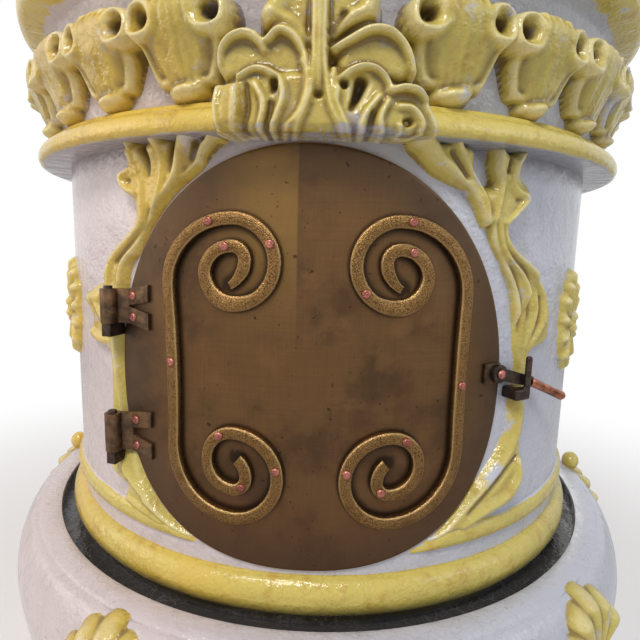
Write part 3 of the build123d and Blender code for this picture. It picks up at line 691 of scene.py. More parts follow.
right_outline = (
    (50, 66), (57, 52), (68, 45), (81, 41), (90, 40), (97, 33), (104, 23), (109, 13), (115, 4),
    (122, -6), (130, -18), (136, -31), (139, -45), (141, -63), (144, -79), (140, -98), (139, -116),
    (135, -133), (125, -147), (108, -164), (89, -177), (72, -192), (78, -199), (94, -196), (112, -193),
    (130, -188), (152, -185), (160, -171), (158, -157), (158, -139), (160, -119), (160, -96),
    (161, -80), (164, -70), (182, -65), (185, -48), (181, -33), (171, -21), (158, -9), (144, -2),
    (130, 6), (124, 17), (127, 27), (140, 33), (144, 40), (137, 47), (130, 51), (129, 57), (132, 67),
    (120, 64), (110, 67), (103, 62), (105, 52), (106, 44), (100, 43), (92, 52), (86, 66),
)
right_strokes = [
    [(54, 66, 9, 19), (64, 56, 7.5, 15), (76, 49, 6, 12), (88, 42, 4.5, 10), (97, 32, 4, 9),
     (104, 20, 3.5, 8.5)],
    [(74, 67, 3, 18.5), (79, 60, 2.5, 14), (85, 51, 2.5, 12), (94, 42, 2.5, 10.5), (101, 32, 2.5, 10),
     (105, 20, 2.5, 9)],
    [(107, 64, 4, 13.5), (108, 55, 4.5, 12), (111, 46, 5, 10.5), (111, 34, 4, 9.5), (109, 22, 4, 9)],
    [(126, 64, 3.5, 13.5), (121, 56, 4, 12), (119, 47, 4, 10.5), (126, 40, 5, 11), (134, 37, 5.5, 11.5),
     (128, 29, 4.5, 11), (120, 21, 3.5, 10)],
    [(109, 22, 2.6, 8), (113, 9, 2.6, 7.5), (121, -3, 2.6, 7.5), (129, -15, 2.8, 7.5),
     (137, -29, 3.4, 7.5), (141, -46, 3.4, 7.5), (144, -64, 3.2, 7.5), (150, -80, 4, 7.5)],
    [(113, 22, 2.4, 9), (117, 9, 2.4, 9), (126, -3, 2.6, 9), (136, -12, 3, 9.5), (144, -22, 3.5, 10),
     (148, -36, 4, 10), (147, -52, 4, 10), (148, -66, 3.5, 9)],
    [(118, 20, 2.6, 9.5), (121, 9, 2.6, 9.5), (131, 0, 3, 9.5), (145, -9, 4.2, 10.5), (158, -18, 5, 11),
     (168, -30, 5, 11.5), (171, -46, 5.5, 11.5), (165, -58, 5, 10), (156, -68, 4, 9)],
    [(157, -24, 4, 10), (161, -38, 4, 11), (158, -54, 4, 10), (153, -66, 3.5, 9)],
    [(152, -80, 5, 7.5), (150, -97, 6, 7.5), (149, -116, 6.5, 7.5), (146, -132, 6.5, 8),
     (135, -147, 5.5, 8.5), (118, -163, 5, 8), (100, -176, 4.5, 7), (84, -190, 3, 5)],
    [(152, -150, 4, 8.5), (150, -163, 7, 11), (140, -174, 7, 11), (122, -181, 6, 9),
     (102, -190, 4.5, 6.5)],
]
right_hollows = [
    [(116, 62, 2.2, 8), (115, 52, 1.8, 5)], [(72, 60, 2.5, 5), (84, 46, 2, 4)],
    [(111, 20, 1, 2.5), (115, 7, 1.2, 3), (123, -5, 1.2, 3), (132, -15, 1.4, 3), (141, -34, 1.6, 3),
     (143, -54, 1.6, 3)],
    [(117, 19, 1, 2.5), (120, 7, 1.2, 3), (129, -3, 1.2, 3), (141, -12, 1.4, 3.5), (152, -28, 1.8, 5),
     (154, -46, 1.8, 4)],
    [(164, -30, 1.6, 4), (166, -46, 1.8, 4), (160, -58, 1.6, 3)],
    [(150, -147, 1.6, 4), (137, -158, 2, 5), (122, -170, 2, 4), (106, -182, 1.6, 3)],
    [(126, 35, 1.4, 3)],
]
for side, outline, strokes, hollows in (
    ("left", left_outline, left_strokes, left_hollows),
    ("right", right_outline, right_strokes, right_hollows),
):
    clay = relief(
        strokes, hollows, drum - bedded, view_arc, view_height, 0.9, slabs=((outline, stalk_slab),),
        cap=clear_of_door, eased_by=under_latch, blend=2.2, low_shade_share=0.12,
    )
    stalk = settled(clay, "stalk_" + side + "_modelled", "stove", tin_glaze, None)
    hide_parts("stalk_" + side)

# ---- Side rosettes ----
# Long pointed rosettes pressed from a mould on both sides of the drum, with plump petals.


def gathered(group, bm, matrix=None):
    """Adds a finished bmesh to a group of like pieces."""
    if matrix is not None:
        bm.transform(matrix)
    data = bpy.data.meshes.new("part")
    bm.to_mesh(data)
    bm.free()
    group.from_mesh(data)
    bpy.data.meshes.remove(data)


rosette_edge = [(0, 44), (7, 38), (13, 28), (20, 18), (21, 6), (22, -6), (20, -18), (15, -28), (9, -38)]
rosette_slab = rosette_edge + [(0, -43)] + [(-x, y) for x, y in reversed(rosette_edge[1:])]
lobes = [
    [(0, 10, 3, 8), (0, 38, 4, 7.5)], [(0, -12, 3, 8), (0, -37, 4.5, 7)],
    [(0, 4, 7, 10.5), (0, -6, 7, 10.5)],
]
petals = ((5, 10, 9, 28), (7, 6, 15, 17), (7, -2, 16, 2), (7, -8, 15, -13), (5, -12, 10, -28))
for side in (-1, 1):
    for x, y, reach_x, reach_y in petals:
        lobes.append([(side * x, y, 2.5, 7.5), (side * reach_x, reach_y, 5.6, 8.5)])
rosette_rise = 0.033
both = bmesh.new()
for azimuth in (-56.0, 56.0):
    rosette = relief(
        lobes, [[(0, -1, 2.5, 4)]], drum - bedded, radians(azimuth) * drum,
        door_waist + rosette_rise, 0.9, slabs=((rosette_slab, ((-45, 4.5), (45, 4.5))),),
    )
    gathered(both, rosette)
rosettes = settled(both, "side_rosettes_modelled", "stove", tin_glaze, None)
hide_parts("side_rosettes")

# ---- Base shells ----
# Scallops pressed on the shoulder of the foot. Those on the two sides end in a small ball that
# rises over the lip.
lip_bend = 0.3022
lip_rows = shoulder + [(0.2885, 0.3012), (0.2865, 0.3030)]
shoulder_rows = sorted((height, radius) for radius, height in lip_rows)
shoulder_heights = [height for height, radius in shoulder_rows]
shoulder_radii = [radius for height, radius in shoulder_rows]


def shoulder_radius(height):
    """The outside of the base at a height near its shoulder."""
    return float(np.interp(min(height, lip_bend), shoulder_heights, shoulder_radii)) - 0.0003


def over_lip(radius, height, clay):
    """Where a shell reaches past the lip it bends over and lies on the lip's flat top."""
    past = max(0, height - lip_bend)
    return radius - past, min(height, lip_bend) + min(past, max(0, clay) * 0.0005)


flutes = []
for turn in range(-60, 61, 30):
    lean = radians(turn)
    flutes.append([
        (5 * sin(lean), -26, 3.5, 5), (17 * sin(lean), -26 + 20 * cos(lean), 5.5, 8),
        (25 * sin(lean), -24 + 35 * cos(lean), 9.5, 12),
    ])
flutes.append([(0, -31, 5, 7), (0, -26, 6, 9)])
flutes.append([(-16, -24, 5, 7), (-7, -29, 5, 8), (7, -29, 5, 8), (16, -24, 5, 7)])
shells = bmesh.new()
shell_rise = 0.2825
for azimuth in (-91.0, -24.0, 43.5, 92.0, 150.0, -150.0):
    shell = relief(
        flutes, [], shoulder_radius, radians(azimuth) * drum, shell_rise, 1.0, tuck=over_lip, passes=3,
    )
    gathered(shells, shell)
    if abs(azimuth) in (91.0, 92.0):
        ball = bmesh.new()
        bmesh.ops.create_uvsphere(ball, u_segments=32, v_segments=20, radius=0.0090)
        for vertex in ball.verts:
            vertex.co.z *= 1.15
        coloured(ball, "yellow", [1.0] * len(ball.verts))
        on_lip = wrapped(radians(azimuth) * drum, 0.2955, 0.3065)
        gathered(shells, ball, Matrix.Translation(on_lip))
base_shells = settled(shells, "base_shells_modelled", "stove", tin_glaze, None)
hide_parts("base_shells")

# ---- Frieze ----
# A ring with leaves that hang all the way round and a palmette over the door, pressed from moulds
# and painted yellow over the white ground.
wall_radius, frieze_bore = 0.256, 0.186
outline = [(frieze_bore, 0.6295), (0.2555, 0.6295), (wall_radius, 0.6305), (wall_radius, 0.7060)]
outline += [(0.2590, 0.7105), (0.2680, 0.7135), (0.2780, 0.7150), (0.2822, 0.7172), (0.2836, 0.7210)]
outline += [(0.2840, 0.7250), (0.2840, 0.7430), (0.2832, 0.7480), (0.2812, 0.7508), (0.2780, 0.7520)]
outline += [(frieze_bore, 0.7520)]
frieze = turned(outline, 256)
over_leaves = [v.co.z > 0.712 and v.co.xy.length > 0.26 for v in frieze.verts]
coloured(frieze, "yellow", over_leaves)
frieze_ring = settled(frieze, "frieze_ring_glazed", "stove", tin_glaze, 45)
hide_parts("frieze_ring")

leaf_strokes = [[(0, 56, 2.4, 26.5), (0, 42, 2.2, 25.5), (-1, 26, 2.0, 20.5), (0, 11, 2.2, 14)]]
leaf_hollows = []
for side in (-1, 1):
    half = [
        [(4.5, 56, 2.2, 26), (4.5, 42, 2.0, 25.5), (3.6, 27, 1.8, 19), (4.5, 10, 2.0, 13)],
        [(9.5, 56, 2.6, 26), (9.5, 44, 2.2, 25.5), (11.5, 30, 1.8, 19), (11, 19, 1.8, 15),
         (8, 10, 2.0, 12.5)],
        [(11, 40, 3.0, 24.5), (14, 34.5, 3.8, 26), (20, 32.5, 4.4, 27), (26.5, 35, 4.0, 26.5),
         (28.5, 42, 3.6, 25)],
        [(28.5, 42, 3.6, 25), (26.5, 49, 3.4, 25.5), (20, 52, 3.4, 26), (14, 49.5, 3.2, 26),
         (11, 43, 3, 25)],
        [(23, 30, 3.0, 18), (21, 21, 2.6, 14.5), (17.5, 11, 2.6, 11.5)],
        [(17.5, 11, 2.4, 11), (11, 9.5, 2.4, 12)],
    ]
    leaf_strokes += [[(side * x, y, w, h) for x, y, w, h in points] for points in half]
    leaf_hollows += [
        [(side * 20, 42.5, 4.8, 16)], [(side * 17, 25, 4.5, 1.5), (side * 15, 16, 4, 1.5)],
    ]
leaf_strokes.append([(-8, 4.5, 5.0, 11), (-2.5, 4, 6.4, 14.5), (3.5, 5, 6.6, 14.5), (9.5, 7, 5.0, 11)])
leaf_strokes.append([(-3, 5.5, 3.6, 16), (4, 6.5, 3.6, 16)])
leaf_edge = [
    (0, 58), (12, 57), (24, 53), (31, 43), (29, 33), (26, 26), (22.5, 17), (19.5, 9.5), (14, 8.5),
    (13, 4), (7, -1),
]
leaf_foot = 0.630
leaf_stand = ((0, 6), (9, 9), (14, 12.5), (24, 16), (34, 21), (44, 23.5), (58, 23))
leaf_slab = leaf_edge + [(0, -2)] + [(-x, y) for x, y in reversed(leaf_edge[1:])]
leaf_count, palmette_turn, palmette_room = 25, radians(1.2), radians(17.2)
pitch = (2 * pi - 2 * palmette_room) / (leaf_count - 1)
hand = np.random.default_rng(7)
leaf_row = bmesh.new()
for index in range(leaf_count):
    azimuth = palmette_turn + palmette_room + index * pitch
    drift = hand.normal(0, 0.35, 2)
    swell = 1 + hand.normal(0, 0.02)
    strokes = []
    for points in leaf_strokes:
        strokes.append([(x + drift[0], y + drift[1], w, h * swell) for x, y, w, h in points])
    leaf = relief(
        strokes, leaf_hollows, wall_radius - bedded, azimuth * drum, leaf_foot, 1.25,
        slabs=((leaf_slab, leaf_stand),), blend=2.2, passes=4, low_shade_share=0.34, edge=11.0,
    )
    gathered(leaf_row, leaf)
leaves = settled(leaf_row, "acanthus_leaves_modelled", "stove", tin_glaze, None)
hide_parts("acanthus_leaves")

palmette_strokes = [
    [(-3, 78, 2.5, 29), (-3, 53, 2.2, 29), (-3, 36, 2.2, 28), (-7, 19, 2.4, 28), (-14, 6, 3, 27),
     (-19, -3, 3, 26)],
    [(-9, 46, 2, 27), (-6, 34, 2.2, 27.5), (-10, 18, 2.5, 28), (-18, 8, 2.5, 27), (-25, -2, 2.5, 26)],
    [(3, 78, 2.5, 29), (3, 53, 2.2, 29), (4, 36, 2.2, 28), (7, 21, 2.4, 28), (13, 9, 2.5, 27),
     (19, -3, 2.2, 26)],
    [(8, 42, 2, 26.5), (8, 28, 2, 28), (13, 16, 2.2, 28), (19, 4, 2, 27), (23, -3, 2, 25)],
    [(0, 95, 3.5, 26), (0, 72, 1.8, 31), (0, 55, 1.5, 31), (0, 39, 1.5, 30), (0, 31, 2, 27)],
    [(1, 20, 4, 22), (2, 10, 7, 22), (2, -2, 9, 21)],
    [(-6, 55, 4, 23), (-14, 64, 7, 25), (-26, 70, 8, 28)], [(-26, 70, 8, 28), (-20, 80, 12, 23)],
    [(4, 58, 4, 23), (12, 66, 6, 26), (24, 72, 8, 27), (26, 80, 8, 25)],
    [(-57, 44, 3, 22), (-55, 53, 3.5, 25), (-48, 59, 4, 27), (-39, 60, 4.5, 28), (-33, 56, 4, 27),
     (-30, 51, 3, 24)],
    [(-29, 56, 3.5, 26), (-22, 61, 4, 28), (-14, 58, 4, 27.5), (-8, 49, 3.5, 26), (-5, 38, 3, 26)],
    [(-46, 46, 11, 18)], [(-32, 46, 12, 18)], [(-18, 46, 11, 18)],
    [(8, 52, 3.5, 25), (17, 57, 4, 27), (27, 62, 4.5, 28), (37, 62, 4.5, 28), (45, 57, 4, 26.5),
     (50, 50, 4, 25), (53, 42, 3.5, 23)],
    [(14, 46, 8, 19)], [(28, 47, 12, 18)], [(43, 48, 9, 18)],
    [(-50, 28, 9, 27), (-51, 18, 10, 28.5), (-51, 8, 7.5, 27), (-53, -4, 5, 24)],
    [(-46, 31, 4, 28), (-46, 21, 4, 29.5), (-47, 12, 4, 29), (-50, 2, 3.5, 27)],
    [(-56, 31, 4, 27), (-57, 21, 4, 28.5), (-56, 11, 4, 28), (-55, 2, 3.5, 26)],
    [(-45, 37, 2.5, 27), (-34, 41, 3, 28.5), (-24, 37, 3, 28.5), (-19, 28, 3.2, 28),
     (-22, 17, 3.2, 27.5), (-26, 8, 3, 27), (-31, -4, 3, 25.5)],
    [(-35, 33, 3, 27.5), (-30, 23, 3.4, 28.5), (-31, 13, 3.2, 28.5), (-37, -4, 3, 26)],
    [(10, 22, 2.2, 27), (11, 32, 2.8, 29), (15, 38, 3, 30), (23, 42, 3, 30.5), (31, 41, 3, 30),
     (37, 36, 2.6, 29), (39, 31, 2.4, 28)],
    [(33, 27, 3, 28), (26, 17, 3.2, 28.5), (24, 8, 3.2, 28), (28, -4, 3, 25.5)],
    [(39, 30, 3, 29), (46, 32, 3.8, 30.5), (54, 31, 3.8, 30), (60, 27, 3, 27)],
    [(38, 25, 2.4, 28.5), (34, 15, 2.4, 28.5), (37, 5, 2.4, 27.5), (43, -4, 2.4, 25.5)],
    [(44, 22, 2.2, 28), (52, 21, 2.6, 29), (58, 13, 2.6, 28.5), (55, 5, 2.4, 27.5), (47, 5, 2.2, 27),
     (45, 12, 2, 27)],
    [(60, 24, 3, 25), (66, 14, 3.4, 25), (68, 4, 3.4, 24), (70, -4, 3, 23)],
]
palmette_slabs = [
    (((-62, -4), (-66, 14), (-63, 30), (-56, 37), (-46, 40), (-34, 45), (-22, 44), (-10, 44), (0, 46),
     (10, 44), (20, 47), (32, 47), (44, 38), (58, 35), (66, 28), (72, 12), (75, -4)), 23.0),
    (((-60, 38), (-60, 52), (-50, 63), (-38, 65), (-31, 59), (-24, 66), (-12, 62), (-4, 52), (-4, 34),
     (-24, 34), (-48, 34)), 20.0),
    (((6, 50), (16, 62), (28, 67), (42, 66), (53, 56), (56, 42), (42, 34), (10, 34)), 20.0),
    (((-4, 50), (-14, 56), (-26, 62), (-36, 70), (-32, 78), (-22, 88), (-8, 94), (0, 84)), 22.0),
    (((4, 52), (12, 60), (24, 64), (34, 73), (33, 82), (24, 90), (10, 95), (0, 84)), 22.0),
    (((-9, 30), (9, 30), (7, 60), (7, 100), (-7, 100), (-7, 60)), 22.0),
]
palmette_hollows = [
    [(-24, 34, 2.2, 8), (-25, 29, 1.5, 4)], [(13, 33, 2.2, 9)],
    [(23, 34, 3, 12), (21, 27, 2.4, 10), (18, 20, 1.5, 5)], [(50, 14, 2.2, 8)], [(0, 27, 1.5, 7)],
    [(6, 60, 2, 5), (13, 70, 2, 5)], [(-40, 33, 1.2, 3), (-39, 20, 1.4, 4), (-42, 6, 1.3, 3)],
    [(-26, 22, 1.5, 3), (-28, 12, 1.5, 3), (-33, 0, 1.3, 2)],
    [(30, 18, 1.4, 4), (29, 8, 1.5, 4), (33, -2, 1.3, 3)],
]
# The strokes were judged on the wall's own face. The clay stands forward of it, nearer the eye,
# so its real places lie closer to the middle of the view.
nearer_across, nearer_up, lowest, shift_across, fleshy = 0.884, 0.941, 60.0, 7.0, 1.2


def brought_in(points):
    """A stroke judged on the wall's face, moved to where it lies on the proud clay."""
    moved = []
    for x, y, *rest in points:
        spread = [rest[0] * fleshy] + rest[1:] if rest else rest
        moved.append(((x - shift_across) * nearer_across, (y + lowest) * nearer_up, *spread))
    return moved


def under_moulding(radius, height, clay):
    """Below the top moulding the palmette's foot turns in along the underside to the wall."""
    round_edge, foot_radius = 0.0025, 0.2503
    share = (soffit_z + 0.0004 - height) / 0.0080
    if share <= 0:
        return radius - round_edge * max(0, 1 + share * 2.4) ** 2, height
    hang = 0.0001 + min(0.0011, max(0, clay - 20) * 0.0002)
    return radius - round_edge + (foot_radius - radius) * share, soffit_z - hang


clay = relief(
    [brought_in(points) for points in palmette_strokes],
    [brought_in(points) for points in palmette_hollows],
    wall_radius - bedded, view_arc, view_height, 0.8,
    slabs=[(brought_in(corners), ((0, proud), (1, proud))) for corners, proud in palmette_slabs],
    tuck=under_moulding, blend=3.0, passes=4, low_shade_share=0.30,
)
thin_paint = clay.verts.layers.float["yellow"]
for vertex in clay.verts:
    if vertex.co.z < soffit_z + 0.0025:
        vertex[thin_paint] *= 0.45 + 0.5 * hand.random()
palmette = settled(clay, "palmette_modelled", "stove", tin_glaze, None)
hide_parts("palmette")

# ---- Door plate ----
# The door is a sheet of brass bent to the drum, brushed and browned, with painted shadow and dark patina
# beside the scrolls and a painted reflection in a bright band near the top.
sheet_inside, sheet_outside = 0.2504, 0.2524
scroll_shift, scroll_middle = 6.0, 0.466
bar_offset, bar_half = 98.5, 4.2
upper_bar = (50.0, ((47.0, 90.0), (27.0, 180.0), (18.5, 180.0), (8.5, 90.0), (18.0, 64.0)))
lower_bar = (52.0, ((47.5, 90.0), (29.5, 180.0), (19.5, 180.0), (9.0, 90.0), (16.0, 50.0)))


def bends(run, curl):
    """Each bend of a bar that runs up and curls to the left: centre, radius, start and sweep."""
    heading = pi / 2
    middle = Vector((bar_offset, run))
    for radius, turn in curl:
        centre = middle + Vector((-sin(heading), cos(heading))) * radius
        yield centre, radius, heading - pi / 2, radians(turn)
        heading += radians(turn)
        middle = centre + Vector((sin(heading), -cos(heading))) * radius


def bar_line(run, curl):
    """The middle line of a bar in millimetres, from the pair's waist to the curl's end."""
    line = [(bar_offset, -4.0), (bar_offset, run)]
    for centre, radius, begin, sweep in bends(run, curl):
        steps = max(3, int(degrees(sweep) / 9))
        for step in range(1, steps + 1):
            spoke = begin + sweep * step / steps
            line.append((centre.x + radius * cos(spoke), centre.y + radius * sin(spoke)))
    return np.array(line)


def shaded(across, up, line):
    """Painted shadow and dark tarnish beside a bar at each place of the sheet: more on the curl's inner
    side.
    """
    shade = np.zeros(across.shape)
    for start, end in zip(line[:-1], line[1:]):
        run = end - start
        t = np.clip(((across - start[0]) * run[0] + (up - start[1]) * run[1]) / (run @ run), 0, 1)
        off_x = across - start[0] - t * run[0]
        off_y = up - start[1] - t * run[1]
        away = np.hypot(off_x, off_y) - bar_half
        inward = np.clip(1 - (away - 0.6) / 3.4, 0, 1) + 0.25 * np.clip(1 - away / 12.0, 0, 1)
        outward = np.clip(1 - away / 2.0, 0, 1)
        shade = np.maximum(shade, np.where(run[0] * off_y - run[1] * off_x > 0, inward, outward))
    return np.minimum(shade, 1.0)


def leant(side, across, up):
    """How far a place on a bar was hammered in, in millimetres: the left bar more than the right."""
    near_straight = np.clip((across - 55.0) / 35.0, 0, 1)
    return (4.0 if side < 0 else 1.5) * np.clip(1 - ((up + 18) / 85) ** 2, 0, 1) * near_straight


rings, spokes, flat_share = 96, 400, 0.995
rows = [(flat_share * step / rings, sheet_outside) for step in range(rings + 1)]
rows += [(0.9985, sheet_outside - 0.0003), (1.0, sheet_outside - 0.0008)]
rows += [(1.0, sheet_inside + 0.0004)]
rows += [(flat_share * (1 - step / 12), sheet_inside) for step in range(13)]
plate = bmesh.new()
bmesh.ops.create_grid(plate, x_segments=spokes, y_segments=len(rows) - 1, size=0.5)
places = []
for vertex in plate.verts:
    share, radius = rows[round((vertex.co.y + 0.5) * (len(rows) - 1))]
    arc, height = door_edge(2 * pi * (vertex.co.x + 0.5))
    arc, height = arc * share, door_waist + (height - door_waist) * share
    vertex.co = wrapped(arc, radius, height)
    places.append((arc * 1000, height * 1000, share))
places = np.array(places)
across = places[:, 0] - scroll_shift
up = places[:, 1] - scroll_middle * 1000
shade = np.zeros(len(places))
for side in (-1, 1):
    for way, (run, curl) in ((1, upper_bar), (-1, lower_bar)):
        beside = side * across + leant(side, side * across, up)
        here = shaded(beside, way * up, bar_line(run, curl))
        shade = np.maximum(shade, np.where(way * up > -4, here, 0))
# Painted shadow, with dark patina, beside the bars.
coloured(plate, "patina_and_shadow", shade)
coloured(plate, "share", places[:, 2])
coloured(plate, "rim", places[:, 2] > 0.998)
bmesh.ops.remove_doubles(plate, verts=plate.verts[:], dist=1e-6)
bmesh.ops.recalc_face_normals(plate, faces=plate.faces[:])

brass, tree, shader, place = new_finish("door_brass", 0.42, 0.85)
upright = mottle(tree, place, 900.0, 3.0, 0.6, (1.0, 1.0, 0.03))
level = mottle(tree, place, 900.0, 3.0, 0.6, (0.03, 0.03, 1.0))
grain = times(tree, arithmetic(tree, "ADD", upright, level), 0.5)
stain = mottle(tree, place, 16.0, 5.0, 0.62)
blotch = mottle(tree, place, 45.0, 4.0, 0.6)
tone = tint_mix(tree, ramp(tree, grain, 0.1, 0.9), srgb(100, 74, 47), srgb(119, 88, 56))
tone = stained(tree, tone, stain, 0.42, 0.66, 0.75, srgb(72, 53, 38))
tone = stained(tree, tone, blotch, 0.52, 0.75, 0.5, srgb(128, 94, 60))
tone = stained(tree, tone, written(tree, "share"), 0.70, 0.99, 0.7, srgb(74, 60, 47))
parts = tree.nodes.new("ShaderNodeSeparateXYZ")
tree.links.new(place, parts.inputs[0])
low_down = arithmetic(tree, "SUBTRACT", 1.0, ramp(tree, parts.outputs["Z"], 0.34, 0.44))
tone = tint_mix(tree, times(tree, low_down, 0.4), tone, srgb(88, 60, 42))
# Painted reflection: a bright golden band near the top, left of the middle, with a hard right edge.
painted_reflection = ramp(tree, parts.outputs["X"], -0.062, -0.030)
painted_reflection = times(tree, painted_reflection, ramp(tree, parts.outputs["Z"], 0.465, 0.56))
reflection_edge = arithmetic(tree, "SUBTRACT", 1.0, ramp(tree, parts.outputs["X"], -0.0065, -0.0045))
painted_reflection = times(tree, times(tree, painted_reflection, reflection_edge), ramp(tree, stain, 0.1, 1.2))
tone = tint_mix(tree, painted_reflection, tone, srgb(168, 132, 72))
# Painted shadow and patina: the sheet is darkened beside the bars.
bar_shadow_and_patina = times(tree, written(tree, "patina_and_shadow"), 0.88)
tone = tint_mix(tree, bar_shadow_and_patina, tone, srgb(38, 28, 19))
speck = mottle(tree, place, 240.0, 2.0, 0.5)
tone = stained(tree, tone, speck, 0.68, 0.76, 0.75, srgb(46, 32, 22))
tone = tint_mix(tree, times(tree, written(tree, "rim"), 0.7), tone, srgb(188, 150, 96))
tree.links.new(tone, shader.inputs["Base Color"])
rough = arithmetic(tree, "ADD", times(tree, stain, 0.3), 0.28)
tree.links.new(rough, shader.inputs["Roughness"])
beaten = arithmetic(tree, "ADD", times(tree, grain, 0.15), times(tree, blotch, 0.5))
bumped(tree, shader, beaten, 0.0012, 0.4)
door_plate = settled(plate, "door_plate_brass", "door", brass, 60)
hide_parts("door_plate")

# ---- Door scrolls ----
# Two flat brass bars with broken edges, curled at both ends, etched all over and rubbed bright
# along the edges, where a painted highlight is laid as well.
# Each corner gives the distance across, how far it stands out, and how brightly its edge is rubbed, which
# also paints a highlight.
bar_profile = [(-bar_half, 0.0, 0), (-bar_half, 3.4, 0.2), (-3.9, 4.2, 1), (-3.4, 4.6, 0.4), (-2.6, 4.9, 0)]
bar_profile += [(0, 5.1, 0), (2.6, 4.9, 0), (3.4, 4.6, 0.4), (3.9, 4.2, 1), (bar_half, 3.4, 0.2)]
bar_profile += [(bar_half, 0.0, 0)]


def half_bar(run, curl, tip):
    """One half of a bar on the flat, from its middle to its curl's end, with a rounded tip."""
    bm = bmesh.new()
    rubbed_and_sheen = bm.verts.layers.float.new("rubbed_and_sheen")
    ring = []
    for across, proud, rub in bar_profile:
        ring.append(bm.verts.new((bar_offset + across, 0, proud)))
        ring[-1][rubbed_and_sheen] = rub
    last = ring + [bm.edges.new(pair) for pair in zip(ring, ring[1:] + ring[:1])]
    straight_steps = 12
    for _ in range(straight_steps):
        section = [e for e in last if isinstance(e, bmesh.types.BMEdge)]
        grown = bmesh.ops.extrude_edge_only(bm, edges=section)["geom"]
        moved = [v for v in grown if isinstance(v, bmesh.types.BMVert)]
        bmesh.ops.translate(bm, vec=(0, run / straight_steps, 0), verts=moved)
        edges = [e for e in grown if isinstance(e, bmesh.types.BMEdge)]
        last = moved + [e for e in edges if all(v in moved for v in e.verts)]
    for centre, radius, begin, sweep in bends(run, curl):
        spun = bmesh.ops.spin(
            bm, geom=last, cent=(centre.x, centre.y, 0), axis=(0, 0, 1), dvec=(0, 0, 0),
            angle=sweep, steps=max(4, int(degrees(sweep) / 7.5)),
            use_merge=False, use_normal_flip=False, use_duplicate=False,
        )
        last = spun["geom_last"]
        end = centre + Vector((cos(begin + sweep), sin(begin + sweep))) * radius
    bmesh.ops.contextual_create(bm, geom=[e for e in last if isinstance(e, bmesh.types.BMEdge)])
    bmesh.ops.remove_doubles(bm, verts=bm.verts[:], dist=0.01)
    for vertex in bm.verts:
        near = (vertex.co.xy - end).length
        if tip and near < tip:
            share = 0.45 + 0.55 * near / tip
            vertex.co.xy = end + (vertex.co.xy - end) * share
            vertex.co.z *= share
    return bm


for side, name in ((1, "right"), (-1, "left")):
    bar = half_bar(*upper_bar, 15.0)
    lower = half_bar(*lower_bar, 0.0)
    gathered(bar, lower, Matrix.Scale(-1, 4, (0, 1, 0)))
    bmesh.ops.remove_doubles(bar, verts=bar.verts[:], dist=0.01)
    for vertex in bar.verts:
        x, y, proud = vertex.co
        arc = scroll_shift + side * (x - leant(side, x, y))
        vertex.co = wrapped(arc / 1000, sheet_outside + proud / 1000, scroll_middle + y / 1000)
    bmesh.ops.recalc_face_normals(bar, faces=bar.faces[:])
    if side == 1:
        etched, tree, shader, place = new_finish("etched_brass", 0.34, 1.0)
        pitting = mottle(tree, place, 1250.0, 2.0, 0.5)
        cloud = mottle(tree, place, 70.0, 3.0, 0.6)
        tone = tint_mix(tree, ramp(tree, pitting, 0.30, 0.66), srgb(78, 58, 36), srgb(146, 112, 68))
        tone = stained(tree, tone, cloud, 0.5, 0.75, 0.5, srgb(92, 66, 40))
        # The edges are rubbed bright and carry a painted highlight.
        tone = tint_mix(tree, times(tree, written(tree, "rubbed_and_sheen"), 0.6), tone, srgb(196, 164, 114))
        tree.links.new(tone, shader.inputs["Base Color"])
        bumped(tree, shader, pitting, 0.0008, 0.6)
    scroll = settled(bar, "door_scroll_" + name + "_brass", "door", etched, 50)
    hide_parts("door_scroll_" + name)

# ---- Rivets ----
# Copper rivets hold the scrolls and the straps: low heads struck with a hollow punch, which left
# a ring round a small nipple.
head_profile = [(0, 1.75), (0.5, 1.72), (0.9, 1.45), (1.25, 1.4), (1.7, 1.62), (2.2, 1.55)]
head_profile += [(2.8, 1.1), (3.15, 0.45), (3.2, 0.0), (3.0, -0.3), (0, -0.3)]


def facing_out(arc, radius, height):
    """A frame on the round wall: x to the right, y up and z straight out."""
    turn = arc / drum
    matrix = Matrix(((cos(turn), 0, sin(turn)), (sin(turn), 0, -cos(turn)), (0, 1, 0))).to_4x4()
    matrix.translation = wrapped(arc, radius, height)
    return matrix


def small_turning(profile, steps, closed=False, size=1.0):
    """Spins a small outline given in millimetres."""
    corners = [(radius * size / 1000, height * size / 1000) for radius, height in profile]
    return turned(corners, steps, closed)


copper, tree, shader, place = new_finish("copper", 0.36, 0.9)
rub = mottle(tree, place, 190.0, 3.0)
tone = tint_mix(tree, ramp(tree, rub, 0.35, 0.65), srgb(148, 90, 80), srgb(182, 118, 104))
tone = tint_mix(tree, ramp(tree, mottle(tree, place, 60.0), 0.55, 0.8), tone, srgb(118, 66, 56))
tree.links.new(tone, shader.inputs["Base Color"])
bumped(tree, shader, rub, 0.0004, 0.4)
right_stops = (-7.5, ((0, 0.92), (2, 0.87), (1, 0.72)))
left_stops = (3.0, ((0, 0.80), (2, 0.93), (1, 0.36)))
lower_stops = ((2, 0.16), (1, 0.57), (3, 0.5))
heads = bmesh.new()
for side, (middle_stop, upper_stops) in ((1, right_stops), (-1, left_stops)):
    stops = [(bar_offset, middle_stop)]
    for way, (run, curl), marks in ((1, upper_bar, upper_stops), (-1, lower_bar, lower_stops)):
        stations = list(bends(run, curl))
        for bend, share in marks:
            centre, radius, begin, sweep = stations[bend]
            spoke = begin + share * sweep
            stops.append((centre.x + radius * cos(spoke), way * (centre.y + radius * sin(spoke))))
    for x, y in stops:
        arc = scroll_shift + side * (x - leant(side, x, y))
        spot = facing_out(arc / 1000, sheet_outside + 0.00505, scroll_middle + y / 1000)
        gathered(heads, small_turning(head_profile, 28, size=0.94), spot)
scroll_rivets = settled(heads, "scroll_rivets_copper", "door", copper, 60)
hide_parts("scroll_rivets")

